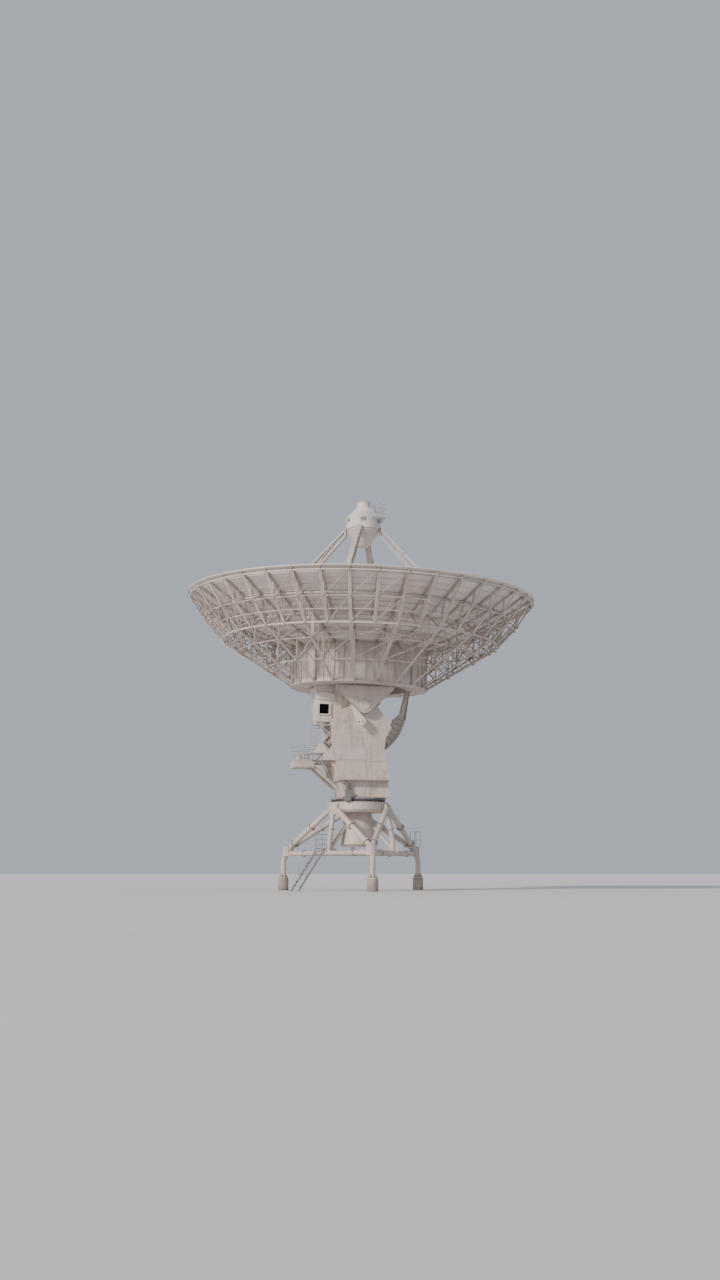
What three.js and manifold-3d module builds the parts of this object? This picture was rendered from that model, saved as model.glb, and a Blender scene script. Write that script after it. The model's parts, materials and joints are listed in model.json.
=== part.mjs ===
// A 25 metre radio telescope dish: a three-legged pedestal on piers, a yoke that
// turns on it, and a reflector that tips between the yoke's arms.
// Millimetres, +Z up. The dish tips towards +X, and the tipping axis runs along Y.
import * as THREE from 'three';
import { mergeVertices } from 'three/addons/utils/BufferGeometryUtils.js';
import Module from 'manifold-3d';

const wasm = await Module();
wasm.setup();

// Driving dimensions of the reflector, in the dish's own frame: heights are
// measured along the dish's axis from the tipping axis.
const RIM_RADIUS = 12500;
const FOCAL_LENGTH = 9000;
const VERTEX_HEIGHT = 3640;
const RING_RADII = [1200, 2900, 4800, 6700, 8600, 10500, RIM_RADIUS];
const FACETS = 40;
const SEGMENTS = 5;
const PANEL_DEPTH = 60;
const TILT = THREE.MathUtils.degToRad(1.65);
const TIP_AXIS_HEIGHT = 12840;

// The centre of the rim is above the origin, so the turning axis stands a little behind it.
const RIM_HEIGHT = VERTEX_HEIGHT + RIM_RADIUS ** 2 / (4 * FOCAL_LENGTH);
const TURN_AXIS_X = -RIM_HEIGHT * Math.sin(TILT);

// Driving dimensions of the pedestal, measured from the turning axis.
const BAYS = 3;
const ROUND_SIDES = 24;
const BAY_ANGLES = [330, 90, 210];
const CORNER_ANGLES = [-90, 30, 150];
const FOOT_RADIUS = 5700;
const CORNER_RADIUS = 5350;
const PIER_HEIGHT = 850;
const FLANGE_TOP = 920;
const BEAM_HEIGHT = 2600;
const RING_NODE_RADIUS = 2200;
const RING_NODE_HEIGHT = 5850;
const RING_RADIUS = 2150;
const RING_BOTTOM = 5450;
const RING_TOP = 6150;

// Driving dimensions of the yoke.
const BEARING_TOP = 6450;
const BEARING_RADIUS = 1950;
const NECK_TOP = 7660;
const BASE_TOP = 9000;
const ARM_INNER = 1450;
const ARM_OUTER = 2250;
const PINTLE_RADIUS = 600;
const TRUNNION_RADIUS = 350;
const PIN_SIDES = 16;
const PLATFORM_TOP = 8980;

// Driving dimensions of the dish's structure.
const HUB_RADIUS = RING_RADII[2];
const HUB_BOTTOM = 1400;
const RECESS_RADIUS = 3400;
const RECESS_TOP = 1950;
const ROOM_HALF_WIDTH = 1300;
const ROOM_BOTTOM = -550;
const ROOM_STEP = 600;
const SECTOR_RADIUS = 3500;
const SECTOR_DEPTH = 850;
const APEX_RADIUS = 1250;
const APEX_BOTTOM = 13110;

// Pieces that touch keep this gap, and a turning face keeps the running gap.
const GAP = 0.3;
const RUNNING_GAP = 5;
const PIN_GAP = 0.5;

const MERGE_DISTANCE = 1e-3;
const UP = new THREE.Vector3(0, 0, 1);

const paint = new THREE.MeshStandardMaterial({ color: 0xd8d3ca, roughness: 0.55, metalness: 0.1 });
const panel = new THREE.MeshStandardMaterial({ color: 0xe4e0d8, roughness: 0.45, metalness: 0.15 });
const grey = new THREE.MeshStandardMaterial({ color: 0xa9a7a2, roughness: 0.5, metalness: 0.4 });
const concrete = new THREE.MeshStandardMaterial({ color: 0x96918a, roughness: 0.9, metalness: 0 });

const radians = THREE.MathUtils.degToRad;

// Merges equal corners and drops the empty triangles at a pole, so that the mesh is closed.
function closed(geometry) {
  const bare = geometry.clone();
  bare.deleteAttribute('normal');
  bare.deleteAttribute('uv');
  const merged = mergeVertices(bare, MERGE_DISTANCE);
  const index = merged.index.array;
  const kept = [];
  for (let i = 0; i < index.length; i += 3) {
    const [a, b, c] = [index[i], index[i + 1], index[i + 2]];
    if (a !== b && b !== c && a !== c) {
      kept.push(a, b, c);
    }
  }
  merged.setIndex(kept);
  return merged;
}

// Turns a closed geometry into a solid for joining and cutting.
function solid(geometry) {
  const mesh = closed(geometry);
  const vertProperties = new Float32Array(mesh.attributes.position.array);
  const triVerts = new Uint32Array(mesh.index.array);
  return new wasm.Manifold(new wasm.Mesh({ numProp: 3, vertProperties, triVerts }));
}

// Turns a solid back into a geometry.
function shaped(piece) {
  const mesh = piece.getMesh();
  const geometry = new THREE.BufferGeometry();
  geometry.setAttribute('position', new THREE.BufferAttribute(new Float32Array(mesh.vertProperties), 3));
  geometry.setIndex(new THREE.BufferAttribute(new Uint32Array(mesh.triVerts), 1));
  return geometry;
}

// Joins any number of solids.
function join(pieces) {
  return pieces.reduce((sum, piece) => sum.add(piece));
}

// Cuts the later solids out of the first.
function cut(piece, ...tools) {
  return tools.reduce((rest, tool) => rest.subtract(tool), piece);
}

// A box between two corners.
function box(low, high) {
  const size = high.map((value, axis) => value - low[axis]);
  const geometry = new THREE.BoxGeometry(...size);
  geometry.translate(...low.map((value, axis) => value + size[axis] / 2));
  return solid(geometry);
}

// A straight bar between two points, with as many sides as asked for.
function bar(from, to, radius, sides = 8) {
  const start = new THREE.Vector3(...from);
  const end = new THREE.Vector3(...to);
  const along = end.clone().sub(start);
  const geometry = new THREE.CylinderGeometry(radius, radius, along.length(), sides);
  const merged = closed(geometry.rotateX(Math.PI / 2));
  const turn = new THREE.Quaternion().setFromUnitVectors(UP, along.clone().normalize());
  merged.applyQuaternion(turn);
  merged.translate(...start.add(end).multiplyScalar(0.5).toArray());
  return solid(merged);
}

// A flat bar of rectangular section in the X-Z plane, centred on Y.
function flatBar(from, to, depth, width) {
  const length = Math.hypot(to[0] - from[0], to[1] - from[1]);
  const geometry = new THREE.BoxGeometry(length, width, depth);
  geometry.rotateY(-Math.atan2(to[1] - from[1], to[0] - from[0]));
  geometry.translate((from[0] + to[0]) / 2, 0, (from[1] + to[1]) / 2);
  return solid(geometry);
}

// An upright round post, a lathe's closed profile, and a plate that stands in the X-Z plane.
function post(x, y, bottom, top, radius, sides = 16) {
  return bar([x, y, bottom], [x, y, top], radius, sides);
}

function turned(profile, sides = FACETS) {
  const points = profile.map(([radius, height]) => new THREE.Vector2(radius, height));
  return solid(closed(new THREE.LatheGeometry(points, sides)).rotateX(Math.PI / 2));
}

function outline(points) {
  return points.map(([x, z]) => new THREE.Vector2(x, z));
}

function plate(points, nearY, farY, holes = []) {
  const shape = new THREE.Shape(outline(points));
  shape.holes = holes.map((hole) => new THREE.Path(outline(hole)));
  const depth = farY - nearY;
  const geometry = closed(new THREE.ExtrudeGeometry(shape, { depth, bevelEnabled: false }));
  return solid(geometry.rotateX(Math.PI / 2).translate(0, farY, 0));
}

function arc(centre, radius, startDegrees, endDegrees, steps) {
  const points = [];
  for (let i = 0; i <= steps; i += 1) {
    const angle = radians(startDegrees + ((endDegrees - startDegrees) * i) / steps);
    points.push([centre[0] + radius * Math.cos(angle), centre[1] + radius * Math.sin(angle)]);
  }
  return points;
}

function mesh(name, piece, material) {
  const result = new THREE.Mesh(shaped(piece), material);
  result.name = name;
  return result;
}

// Pedestal

function pier() {
  return post(FOOT_RADIUS, 0, 0, PIER_HEIGHT - GAP, 375, 16);
}

// A corner stands on a bolted flange, leans in at a knee and ends in a knuckle
// that the beams and struts run into.
function cornerLeg(grow = 0) {
  const stubTop = 2250;
  const knuckleBottom = 2420;
  const knuckleTop = 3130;
  const legRadius = 180;
  const knuckleRadius = 390;
  return join([
    post(FOOT_RADIUS, 0, PIER_HEIGHT, FLANGE_TOP, 360 + grow, 12),
    post(FOOT_RADIUS, 0, PIER_HEIGHT, stubTop, legRadius + grow, 10),
    bar([FOOT_RADIUS, 0, stubTop - 110], [CORNER_RADIUS, 0, 2750], legRadius + grow, 10),
    post(CORNER_RADIUS, 0, knuckleBottom - grow, knuckleTop + grow, knuckleRadius + grow, 12),
  ]);
}

// Bay frame: +X points outwards through the middle of one side of the triangle.
const SIDE_X = CORNER_RADIUS * Math.cos(radians(60));
const SIDE_Y = CORNER_RADIUS * Math.sin(radians(60));

function legInBay(side, grow) {
  return cornerLeg(grow).rotate([0, 0, side * 60]);
}

function ringDrum(grow = 0) {
  const boreRadius = (PINTLE_RADIUS + PIN_GAP) / Math.cos(Math.PI / ROUND_SIDES);
  const boreBottom = 5850;
  return turned([
    [0, RING_BOTTOM - grow],
    [RING_RADIUS - 150 + grow, RING_BOTTOM - grow],
    [RING_RADIUS + grow, RING_BOTTOM + 150],
    [RING_RADIUS + grow, RING_TOP],
    [boreRadius, RING_TOP],
    [boreRadius, boreBottom],
    [0, boreBottom],
  ], ROUND_SIDES);
}

function core(grow = 0) {
  return turned([
    [0, 3050],
    [1150 + grow, 3050],
    [1350 + grow, 3250],
    [950 + grow, RING_BOTTOM - GAP],
    [0, RING_BOTTOM - GAP],
  ], 24);
}

function sideBeam() {
  const beam = bar([SIDE_X, -SIDE_Y, BEAM_HEIGHT], [SIDE_X, SIDE_Y, BEAM_HEIGHT], 180, 12);
  return cut(beam, legInBay(1, GAP), legInBay(-1, GAP));
}

function diagonalBar(side, radius) {
  const kneeHeight = 2920;
  const reach = 0.06;
  const foot = [SIDE_X, side * SIDE_Y, kneeHeight];
  const head = [RING_NODE_RADIUS, 0, RING_NODE_HEIGHT];
  const end = head.map((value, axis) => value + reach * (value - foot[axis]));
  return bar(foot, end, radius, 10);
}

const DIAGONAL_RADIUS = 195;

// The strut of the next bay meets this one at the corner, so the other side's
// strut, turned by one bay, is cut away there.
function diagonal(side) {
  const half = 8000;
  const beyond = side > 0 ? [[0, -half, 0], [half, GAP / 2, half]] : [[0, -GAP / 2, 0], [half, half, half]];
  const tools = [ringDrum(GAP), legInBay(side, GAP), box(...beyond)];
  if (side > 0) {
    tools.push(diagonalBar(-1, DIAGONAL_RADIUS + GAP).rotate([0, 0, 120]));
  }
  return cut(diagonalBar(side, DIAGONAL_RADIUS), ...tools);
}

// The middle post stands on the beam, and a knee brace runs from its foot to the core.
function sidePost() {
  const foot = [SIDE_X, 0, BEAM_HEIGHT + 100];
  const pieces = [
    bar(foot, [RING_NODE_RADIUS, 0, RING_NODE_HEIGHT], 200, 8),
    bar([SIDE_X - 60, 0, BEAM_HEIGHT + 200], [900, 0, 4750], 140, 6),
  ];
  const beam = bar([SIDE_X, -SIDE_Y, BEAM_HEIGHT], [SIDE_X, SIDE_Y, BEAM_HEIGHT], 180 + GAP, 12);
  return cut(join(pieces), beam, core(GAP), ringDrum(GAP), diagonalBar(1, DIAGONAL_RADIUS + GAP),
    diagonalBar(-1, DIAGONAL_RADIUS + GAP));
}

const STAIR_Y = -680;
const STAIR_WIDTH = 860;
const LANDING_TOP = 2860;
const LANDING_EDGE = 2950;
const STAIR_RUN = 2240;
const STRINGER = 50;
const TREADS = 10;

// The stair runs outwards from the landing to the ground, in the frame of the rear side bay.
function accessStair() {
  const pieces = [];
  for (const side of [-1, 1]) {
    const y = STAIR_Y + side * (STAIR_WIDTH / 2 - STRINGER / 2);
    const near = y - STRINGER / 2;
    const far = y + STRINGER / 2;
    pieces.push(plate([
      [LANDING_EDGE + GAP, LANDING_TOP],
      [LANDING_EDGE + GAP, LANDING_TOP - 300],
      [LANDING_EDGE + STAIR_RUN - 234, 0],
      [LANDING_EDGE + STAIR_RUN, 0],
    ], near, far));
    const railTop = 1000;
    const top = [LANDING_EDGE + 60, y, LANDING_TOP - 60];
    const foot = [LANDING_EDGE + STAIR_RUN - 120, y, 60];
    pieces.push(bar([top[0], y, top[2]], [top[0], y, top[2] + railTop], 24, 4));
    pieces.push(bar([foot[0], y, foot[2]], [foot[0], y, foot[2] + railTop], 24, 4));
    pieces.push(bar([top[0], y, top[2] + railTop], [foot[0], y, foot[2] + railTop], 24, 4));
  }
  for (let i = 1; i <= TREADS; i += 1) {
    const share = i / (TREADS + 1);
    const x = LANDING_EDGE + STAIR_RUN * share;
    const z = LANDING_TOP * (1 - share);
    pieces.push(box(
      [x - 210, STAIR_Y - STAIR_WIDTH / 2 + 20, z - 40],
      [x - 10, STAIR_Y + STAIR_WIDTH / 2 - 20, z],
    ));
  }
  return join(pieces);
}

function stairLanding() {
  const inner = 1750;
  const bottom = BEAM_HEIGHT + 180 + GAP;
  const low = STAIR_Y - STAIR_WIDTH / 2;
  const high = STAIR_Y + STAIR_WIDTH / 2;
  const railTop = LANDING_TOP + 1050;
  const corners = [[inner + 30, high - 30], [inner + 30, low + 30], [LANDING_EDGE - 40, low + 30]];
  const pieces = [box([inner, low, bottom], [LANDING_EDGE, high, LANDING_TOP])];
  for (const [x, y] of corners) {
    pieces.push(post(x, y, LANDING_TOP - 30, railTop, 24, 4));
  }
  for (const height of [LANDING_TOP + 520, railTop]) {
    for (let i = 0; i + 1 < corners.length; i += 1) {
      pieces.push(bar([...corners[i], height], [...corners[i + 1], height], 22, 4));
    }
  }
  return join(pieces);
}

function pedestal() {
  const group = new THREE.Group();
  const names = ['near', 'front', 'rear'];
  for (let i = 0; i < BAYS; i += 1) {
    const corner = new THREE.Group();
    corner.rotation.z = radians(CORNER_ANGLES[i]);
    corner.add(mesh(`pier_${names[i]}`, pier(), concrete));
    corner.add(mesh(`corner_leg_${names[i]}`, cornerLeg(), paint));
    group.add(corner);
  }
  const sides = ['front_side', 'far_side', 'stair_side'];
  for (let i = 0; i < BAYS; i += 1) {
    const bay = new THREE.Group();
    bay.rotation.z = radians(BAY_ANGLES[i]);
    bay.add(mesh(`beam_${sides[i]}`, sideBeam(), paint));
    bay.add(mesh(`middle_post_${sides[i]}`, sidePost(), paint));
    bay.add(mesh(`strut_left_${sides[i]}`, diagonal(-1), paint));
    bay.add(mesh(`strut_right_${sides[i]}`, diagonal(1), paint));
    if (i === 2) {
      bay.add(mesh('access_stair', accessStair(), grey));
      bay.add(mesh('stair_landing', stairLanding(), grey));
    }
    group.add(bay);
  }
  group.add(mesh('support_ring', ringDrum(), paint));
  group.add(mesh('pedestal_core', core(), paint));
  return group;
}

// Yoke

// The bearing's ring runs above the support ring, and its pintle stands in the
// ring's bore with corners turned to the middles of the bore's flats.
function azimuthBearing(grow = 0) {
  const pintleBottom = 5900;
  const radius = BEARING_RADIUS + grow;
  const ring = turned([
    [0, RING_TOP + RUNNING_GAP],
    [radius, RING_TOP + RUNNING_GAP],
    [radius, BEARING_TOP + grow],
    [0, BEARING_TOP + grow],
  ], ROUND_SIDES);
  const pintle = post(0, 0, pintleBottom, BEARING_TOP - 100, PINTLE_RADIUS, ROUND_SIDES);
  return join([ring, pintle.rotate([0, 0, 180 / ROUND_SIDES])]);
}

const NECK = [
  [-1300, BEARING_TOP + GAP],
  [1880, BEARING_TOP + GAP],
  [1880, NECK_TOP - GAP],
  [-1600, NECK_TOP - GAP],
];
const NECK_HALF_WIDTH = 1700;

function azimuthDrive(side) {
  const x = side * -1050;
  const y = NECK_HALF_WIDTH + GAP;
  const width = 420;
  const half = width / 2;
  const near = side > 0 ? -y - width : y;
  const top = 6950;
  const motorTop = 7450;
  const housing = box([x - half, near, 6200], [x + half, near + width, top]);
  const motor = post(x, near + half, top - 50, motorTop, 140, 8);
  return cut(join([housing, motor]), azimuthBearing(GAP));
}

function yokeBase() {
  const sides = [[-1750, NECK_TOP], [1800, NECK_TOP], [1620, BASE_TOP - GAP], [-1950, BASE_TOP - GAP]];
  return plate(sides, -ARM_OUTER, ARM_OUTER);
}

// Each arm rises from the base, widens at the shoulder and ends in a round head with the bearing's bore.
function yokeArm(side) {
  const headRadius = 950;
  const axis = [0, TIP_AXIS_HEIGHT];
  const boreRadius = (TRUNNION_RADIUS + PIN_GAP) / Math.cos(Math.PI / PIN_SIDES);
  const points = [
    [-1950, BASE_TOP],
    [1620, BASE_TOP],
    [1500, 9900],
    [1560, 10500],
    [2000, 11300],
    [1450, 12200],
    ...arc(axis, headRadius, 0, 180, 10),
    [-1850, 12350],
    [-2300, 11600],
    [-2200, 10500],
  ];
  const halfFlat = 180 / PIN_SIDES;
  const bore = arc(axis, boreRadius, halfFlat, 360 - halfFlat, PIN_SIDES - 1);
  const low = side > 0 ? ARM_INNER : -ARM_OUTER;
  const high = side > 0 ? ARM_OUTER : -ARM_INNER;
  const arm = plate(points, low, high, [bore]);
  if (side > 0) {
    return arm;
  }
  const pocket = box([480, -ARM_OUTER - 100, 9450], [980, -ARM_OUTER + 200, 10050]);
  return cut(arm, pocket);
}

// A small drop-shaped cover stands in front of the near trunnion, on a stem from the arm's outer face.
function armCover() {
  const boss = [-290, 11680];
  const tip = [-930, 12700];
  const near = -2980;
  const back = -2860;
  const round = arc(boss, 340, -148, 32, 8);
  const end = arc(tip, 85, 32, 212, 3);
  const seat = [boss[0], -ARM_OUTER - GAP, boss[1]];
  const stem = bar(seat, [boss[0], back - 20, boss[1]], 150, 12);
  return join([plate([...round, ...end], near, back), stem]);
}

function elevationDrive() {
  const top = TIP_AXIS_HEIGHT - SECTOR_RADIUS - 40;
  const housing = box([-800, -1100, BASE_TOP], [300, 1100, top]);
  const motors = [-1, 1].map((side) => {
    const inner = side * 380;
    const outer = side * 1050;
    return bar([-250, inner, top + 180], [-250, outer, top + 180], 230, 12);
  });
  return join([housing, ...motors]);
}

const PLATFORM_REAR = -4700;
const PLATFORM_FRONT = -3300;
const PLATFORM_HALF_WIDTH = 1000;

// A deck for the cabinet with a walk to the yoke, held by two struts. The base and
// the neck, with the gap, are cut out of them.
function rearPlatform() {
  const half = PLATFORM_HALF_WIDTH;
  const slabBottom = 8560;
  const walkBottom = 8860;
  const slab = box([PLATFORM_REAR, -half, slabBottom], [PLATFORM_FRONT, half, PLATFORM_TOP]);
  const walk = box([PLATFORM_FRONT - 400, -half, walkBottom], [-1800, half, PLATFORM_TOP]);
  const struts = [-750, 750].map((y) => bar([-3420, y, 8700], [-1200, y, 6750], 110, 8));
  const base = plate([
    [-1750 - GAP, NECK_TOP - GAP],
    [0, NECK_TOP - GAP],
    [0, BASE_TOP],
    [-1950 - GAP, BASE_TOP],
  ], -ARM_OUTER, ARM_OUTER);
  const neck = plate([
    [-1300 - GAP, 6000],
    [0, 6000],
    [0, NECK_TOP],
    [-1600 - GAP, NECK_TOP],
  ], -1800, 1800);
  return cut(join([slab, walk, ...struts]), base, neck);
}

function platformRailing() {
  const top = 10100;
  const inset = 40;
  const low = -PLATFORM_HALF_WIDTH + inset;
  const high = PLATFORM_HALF_WIDTH - inset;
  const corners = [
    [PLATFORM_FRONT - 100, low],
    [PLATFORM_REAR + inset, low],
    [PLATFORM_REAR + inset, 0],
    [PLATFORM_REAR + inset, high],
    [PLATFORM_FRONT - 100, high],
  ];
  const pieces = corners.map(([x, y]) => post(x, y, PLATFORM_TOP + GAP, top, 26, 4));
  for (const height of [PLATFORM_TOP + 560, top]) {
    for (let i = 0; i + 1 < corners.length; i += 1) {
      pieces.push(bar([...corners[i], height], [...corners[i + 1], height], 24, 4));
    }
  }
  return join(pieces);
}

function equipmentCabinet() {
  const body = box([-4420, -620, PLATFORM_TOP + GAP], [-3620, 620, 9440]);
  const roof = box([-4470, -670, 9420], [-3570, 670, 9480]);
  return join([body, roof]);
}

const DECK_TOP = 9550;
const DECK_NEAR = -2150;
const DECK_REAR = -4050;

// A deck behind the near arm carries a ladder, seen face on from the near side, and a
// guard plate. The ladder climbs to a landing below the hatch. The arm, with the gap,
// is cut out of the deck and the landing.
function serviceStair() {
  const lap = 20;
  const deckFar = -1150;
  const deckFront = -1900;
  const foot = [-3960, DECK_TOP - lap];
  const head = [-3680, 11500];
  const width = 640;
  const rail = 50;
  const near = -1880;
  const far = -1700;
  const landingFar = -1480;
  const landingFront = -2000;
  const guard = [[-3450, DECK_TOP - lap], [-2450, DECK_TOP - lap], [-3080, 10320]];
  const pieces = [
    box([DECK_REAR, DECK_NEAR, DECK_TOP - 120], [deckFront, deckFar, DECK_TOP]),
    box([head[0], DECK_NEAR, head[1] - 60], [landingFront, landingFar, head[1]]),
    plate(guard, DECK_NEAR, DECK_NEAR + 40),
  ];
  for (const x of [0, width - rail]) {
    const side = [
      [foot[0] + x, foot[1]],
      [foot[0] + x + rail, foot[1]],
      [head[0] + x + rail, head[1] - lap],
      [head[0] + x, head[1] - lap],
    ];
    pieces.push(plate(side, near, far));
  }
  const rungs = 7;
  for (let i = 1; i <= rungs; i += 1) {
    const share = i / (rungs + 1);
    const x = foot[0] + (head[0] - foot[0]) * share;
    const z = foot[1] + (head[1] - foot[1]) * share;
    const low = [x + rail / 2, near + lap, z - 20];
    const high = [x + width - rail / 2, far - lap, z + 20];
    pieces.push(box(low, high));
  }
  const arm = plate([
    [-1950 - GAP, BASE_TOP],
    [0, BASE_TOP],
    [0, 12350],
    [-1850 - GAP, 12350],
    [-2300 - GAP, 11600],
    [-2200 - GAP, 10500],
  ], -ARM_OUTER, -ARM_INNER + GAP);
  const between = box([-2300, -ARM_INNER, DECK_TOP - 200], [0, 0, DECK_TOP + 100]);
  return cut(join(pieces), arm, between);
}

function yoke() {
  const group = new THREE.Group();
  group.add(mesh('azimuth_bearing', azimuthBearing(), grey));
  group.add(mesh('azimuth_drive_near', azimuthDrive(1), grey));
  group.add(mesh('azimuth_drive_far', azimuthDrive(-1), grey));
  group.add(mesh('yoke_neck', plate(NECK, -NECK_HALF_WIDTH, NECK_HALF_WIDTH), paint));
  group.add(mesh('yoke_base', yokeBase(), paint));
  group.add(mesh('yoke_arm_near', yokeArm(-1), paint));
  group.add(mesh('yoke_arm_far', yokeArm(1), paint));
  group.add(mesh('arm_cover', armCover(), paint));
  group.add(mesh('elevation_drive', elevationDrive(), grey));
  group.add(mesh('rear_platform', rearPlatform(), paint));
  group.add(mesh('platform_railing', platformRailing(), paint));
  group.add(mesh('equipment_cabinet', equipmentCabinet(), grey));
  group.add(mesh('service_stair', serviceStair(), grey));
  return group;
}

// Dish

function surface(radius) {
  return VERTEX_HEIGHT + radius ** 2 / (4 * FOCAL_LENGTH);
}

// Halfway along a facet the many-sided surface lies this much nearer to the axis.
const FACET_INSET = Math.cos(Math.PI / FACETS);

function reflectorProfile(lift, depth) {
  const top = RING_RADII.map((radius) => [radius, surface(radius) + lift]);
  const bottom = RING_RADII.map((radius) => [radius, surface(radius) + lift - depth]);
  return [...bottom, ...top.reverse(), bottom[0]];
}

// A wedge of one segment's angle, drawn in by half the gap on both sides.
function segmentWedge() {
  const half = Math.PI / SEGMENTS;
  const reach = 20000;
  const start = GAP / 2 / Math.sin(half);
  const shape = new THREE.Shape([
    new THREE.Vector2(start, 0),
    new THREE.Vector2(reach * Math.cos(half), -reach * Math.sin(half) + GAP / 2),
    new THREE.Vector2(reach * Math.cos(half), reach * Math.sin(half) - GAP / 2),
  ]);
  return solid(new THREE.ExtrudeGeometry(shape, { depth: reach, bevelEnabled: false }));
}

const FIRST_SEAM = 9;
const SEGMENT_ANGLE = 360 / SEGMENTS;

function segmentMiddle(index) {
  return FIRST_SEAM + SEGMENT_ANGLE * (index + 0.5);
}

function reflectorSegment(whole, wedge, index) {
  return whole.intersect(wedge.rotate([0, 0, segmentMiddle(index)]));
}

const RIB_THICKNESS = 90;
const CHORD = 150;
const KNUCKLE = [9900, 4570];
const SHOULDER = [11300, 6100];
const RIM_INSET = 60;

function underside(radius) {
  return surface(radius) - PANEL_DEPTH - GAP;
}

function ribTop(first) {
  const radii = RING_RADII.slice(first);
  const points = radii.map((radius) => [radius * FACET_INSET, underside(radius)]);
  const last = points.length - 1;
  const slope = (points[last][1] - points[last - 1][1]) / (points[last][0] - points[last - 1][0]);
  points[last] = [points[last][0] - RIM_INSET, points[last][1] - RIM_INSET * slope];
  return points;
}

// Draws a triangle's or a quadrangle's sides in by half a chord's depth.
function inset(corners, distance) {
  const centred = corners.map(([x, z]) => new THREE.Vector2(x, z));
  const count = centred.length;
  const area = THREE.ShapeUtils.area(centred);
  const turn = Math.sign(area);
  return centred.map((point, i) => {
    const before = centred[(i + count - 1) % count];
    const after = centred[(i + 1) % count];
    const a = point.clone().sub(before).normalize();
    const b = after.clone().sub(point).normalize();
    const sine = a.cross(b) * turn;
    const shift = b.clone().sub(a).multiplyScalar(distance / sine);
    return [point.x + shift.x, point.y + shift.y];
  });
}

const BOTTOM_ROOT = [HUB_RADIUS * FACET_INSET + GAP, HUB_BOTTOM + 20];

function onBottomChord(x) {
  const share = (x - BOTTOM_ROOT[0]) / (KNUCKLE[0] - BOTTOM_ROOT[0]);
  return [x, BOTTOM_ROOT[1] + share * (KNUCKLE[1] - BOTTOM_ROOT[1])];
}

// A main rib is a flat truss from the hub's wall to the rim.
function mainRib() {
  const top = ribTop(2);
  top[0] = [BOTTOM_ROOT[0], top[0][1]];
  const [root, first, second, third, rim] = top;
  const lowFirst = onBottomChord(first[0]);
  const lowSecond = onBottomChord(second[0]);
  const points = [BOTTOM_ROOT, KNUCKLE, SHOULDER, rim, third, second, first, root];
  const holes = [
    [BOTTOM_ROOT, lowFirst, root],
    [lowFirst, first, root],
    [lowFirst, lowSecond, first],
    [lowSecond, second, first],
    [lowSecond, KNUCKLE, third, second],
  ];
  return plate(points, -RIB_THICKNESS / 2, RIB_THICKNESS / 2, holes.map((hole) => inset(hole, CHORD / 2)));
}

// An outer rib stands between two main ribs and starts at the second ring.
function outerRib() {
  const [second, third, rim] = ribTop(4);
  const points = [second, KNUCKLE, SHOULDER, rim, third];
  const holes = [[second, KNUCKLE, third]];
  return plate(points, -RIB_THICKNESS / 2, RIB_THICKNESS / 2, holes.map((hole) => inset(hole, CHORD / 2)));
}

// A hoop is a ring of straight bars with a three-sided section, set below the
// surface or on the lower chord.
function hoop(radius, height, depth) {
  const half = depth / 2;
  return turned([
    [radius - half, height + half],
    [radius, height - half],
    [radius + half, height + half],
    [radius - half, height + half],
  ]);
}

function hoops() {
  const depth = 120;
  const drop = 130;
  const upper = [3, 4, 5].map((ring) => hoop(RING_RADII[ring], underside(RING_RADII[ring]) - drop, depth));
  const rim = hoop(RIM_RADIUS - 180, underside(RIM_RADIUS - 180) - drop, depth);
  const knuckle = hoop(KNUCKLE[0] - 20, KNUCKLE[1] + 60, depth);
  return join([...upper, rim, knuckle]);
}

const RIB_ANGLE = 360 / FACETS;

function ribFrame(rings, wedge, index) {
  const start = FIRST_SEAM + SEGMENT_ANGLE * index;
  const pieces = [];
  const ribs = FACETS / SEGMENTS;
  for (let i = 0; i < ribs; i += 1) {
    const rib = i % 2 === 0 ? mainRib() : outerRib();
    pieces.push(rib.rotate([0, 0, start + (i + 0.5) * RIB_ANGLE]));
  }
  const ring = rings.intersect(wedge.rotate([0, 0, segmentMiddle(index)]));
  return join([...pieces, ring]);
}

// The hub is a closed drum under the middle of the reflector. Its underside has a
// round recess over the arms' heads.
function hub() {
  const top = RING_RADII.slice(0, 3).map((radius) => [radius, underside(radius)]);
  return turned([
    [0, RECESS_TOP],
    [RECESS_RADIUS, RECESS_TOP],
    [RECESS_RADIUS, HUB_BOTTOM],
    [HUB_RADIUS, HUB_BOTTOM],
    ...top.reverse(),
    [0, underside(RING_RADII[0])],
  ]);
}

// The room hangs in the gap between the arms, with a hatch towards the near side.
function vertexRoom() {
  const top = RECESS_TOP - GAP;
  const ledge = HUB_BOTTOM - GAP;
  const body = plate([
    [-3040, ROOM_BOTTOM - ROOM_STEP],
    [-1950, ROOM_BOTTOM - ROOM_STEP],
    [-1500, ROOM_BOTTOM],
    [600, ROOM_BOTTOM],
    [1400, 300],
    [1400, top],
    [-2900, top],
    [-2900, ledge],
    [-3300, ledge],
  ], -ROOM_HALF_WIDTH, ROOM_HALF_WIDTH);
  const hoodReach = 120;
  const hatchDepth = 450;
  const hood = plate([
    [-3230, 460],
    [-1900, 320],
    [-1900, 850],
    [-3270, 950],
  ], -ROOM_HALF_WIDTH - hoodReach, -ROOM_HALF_WIDTH + 50);
  const hatch = box([-2980, -ROOM_HALF_WIDTH - 50, -600], [-2310, -ROOM_HALF_WIDTH + hatchDepth, 100]);
  return cut(join([body, hood]), hatch);
}

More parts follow.
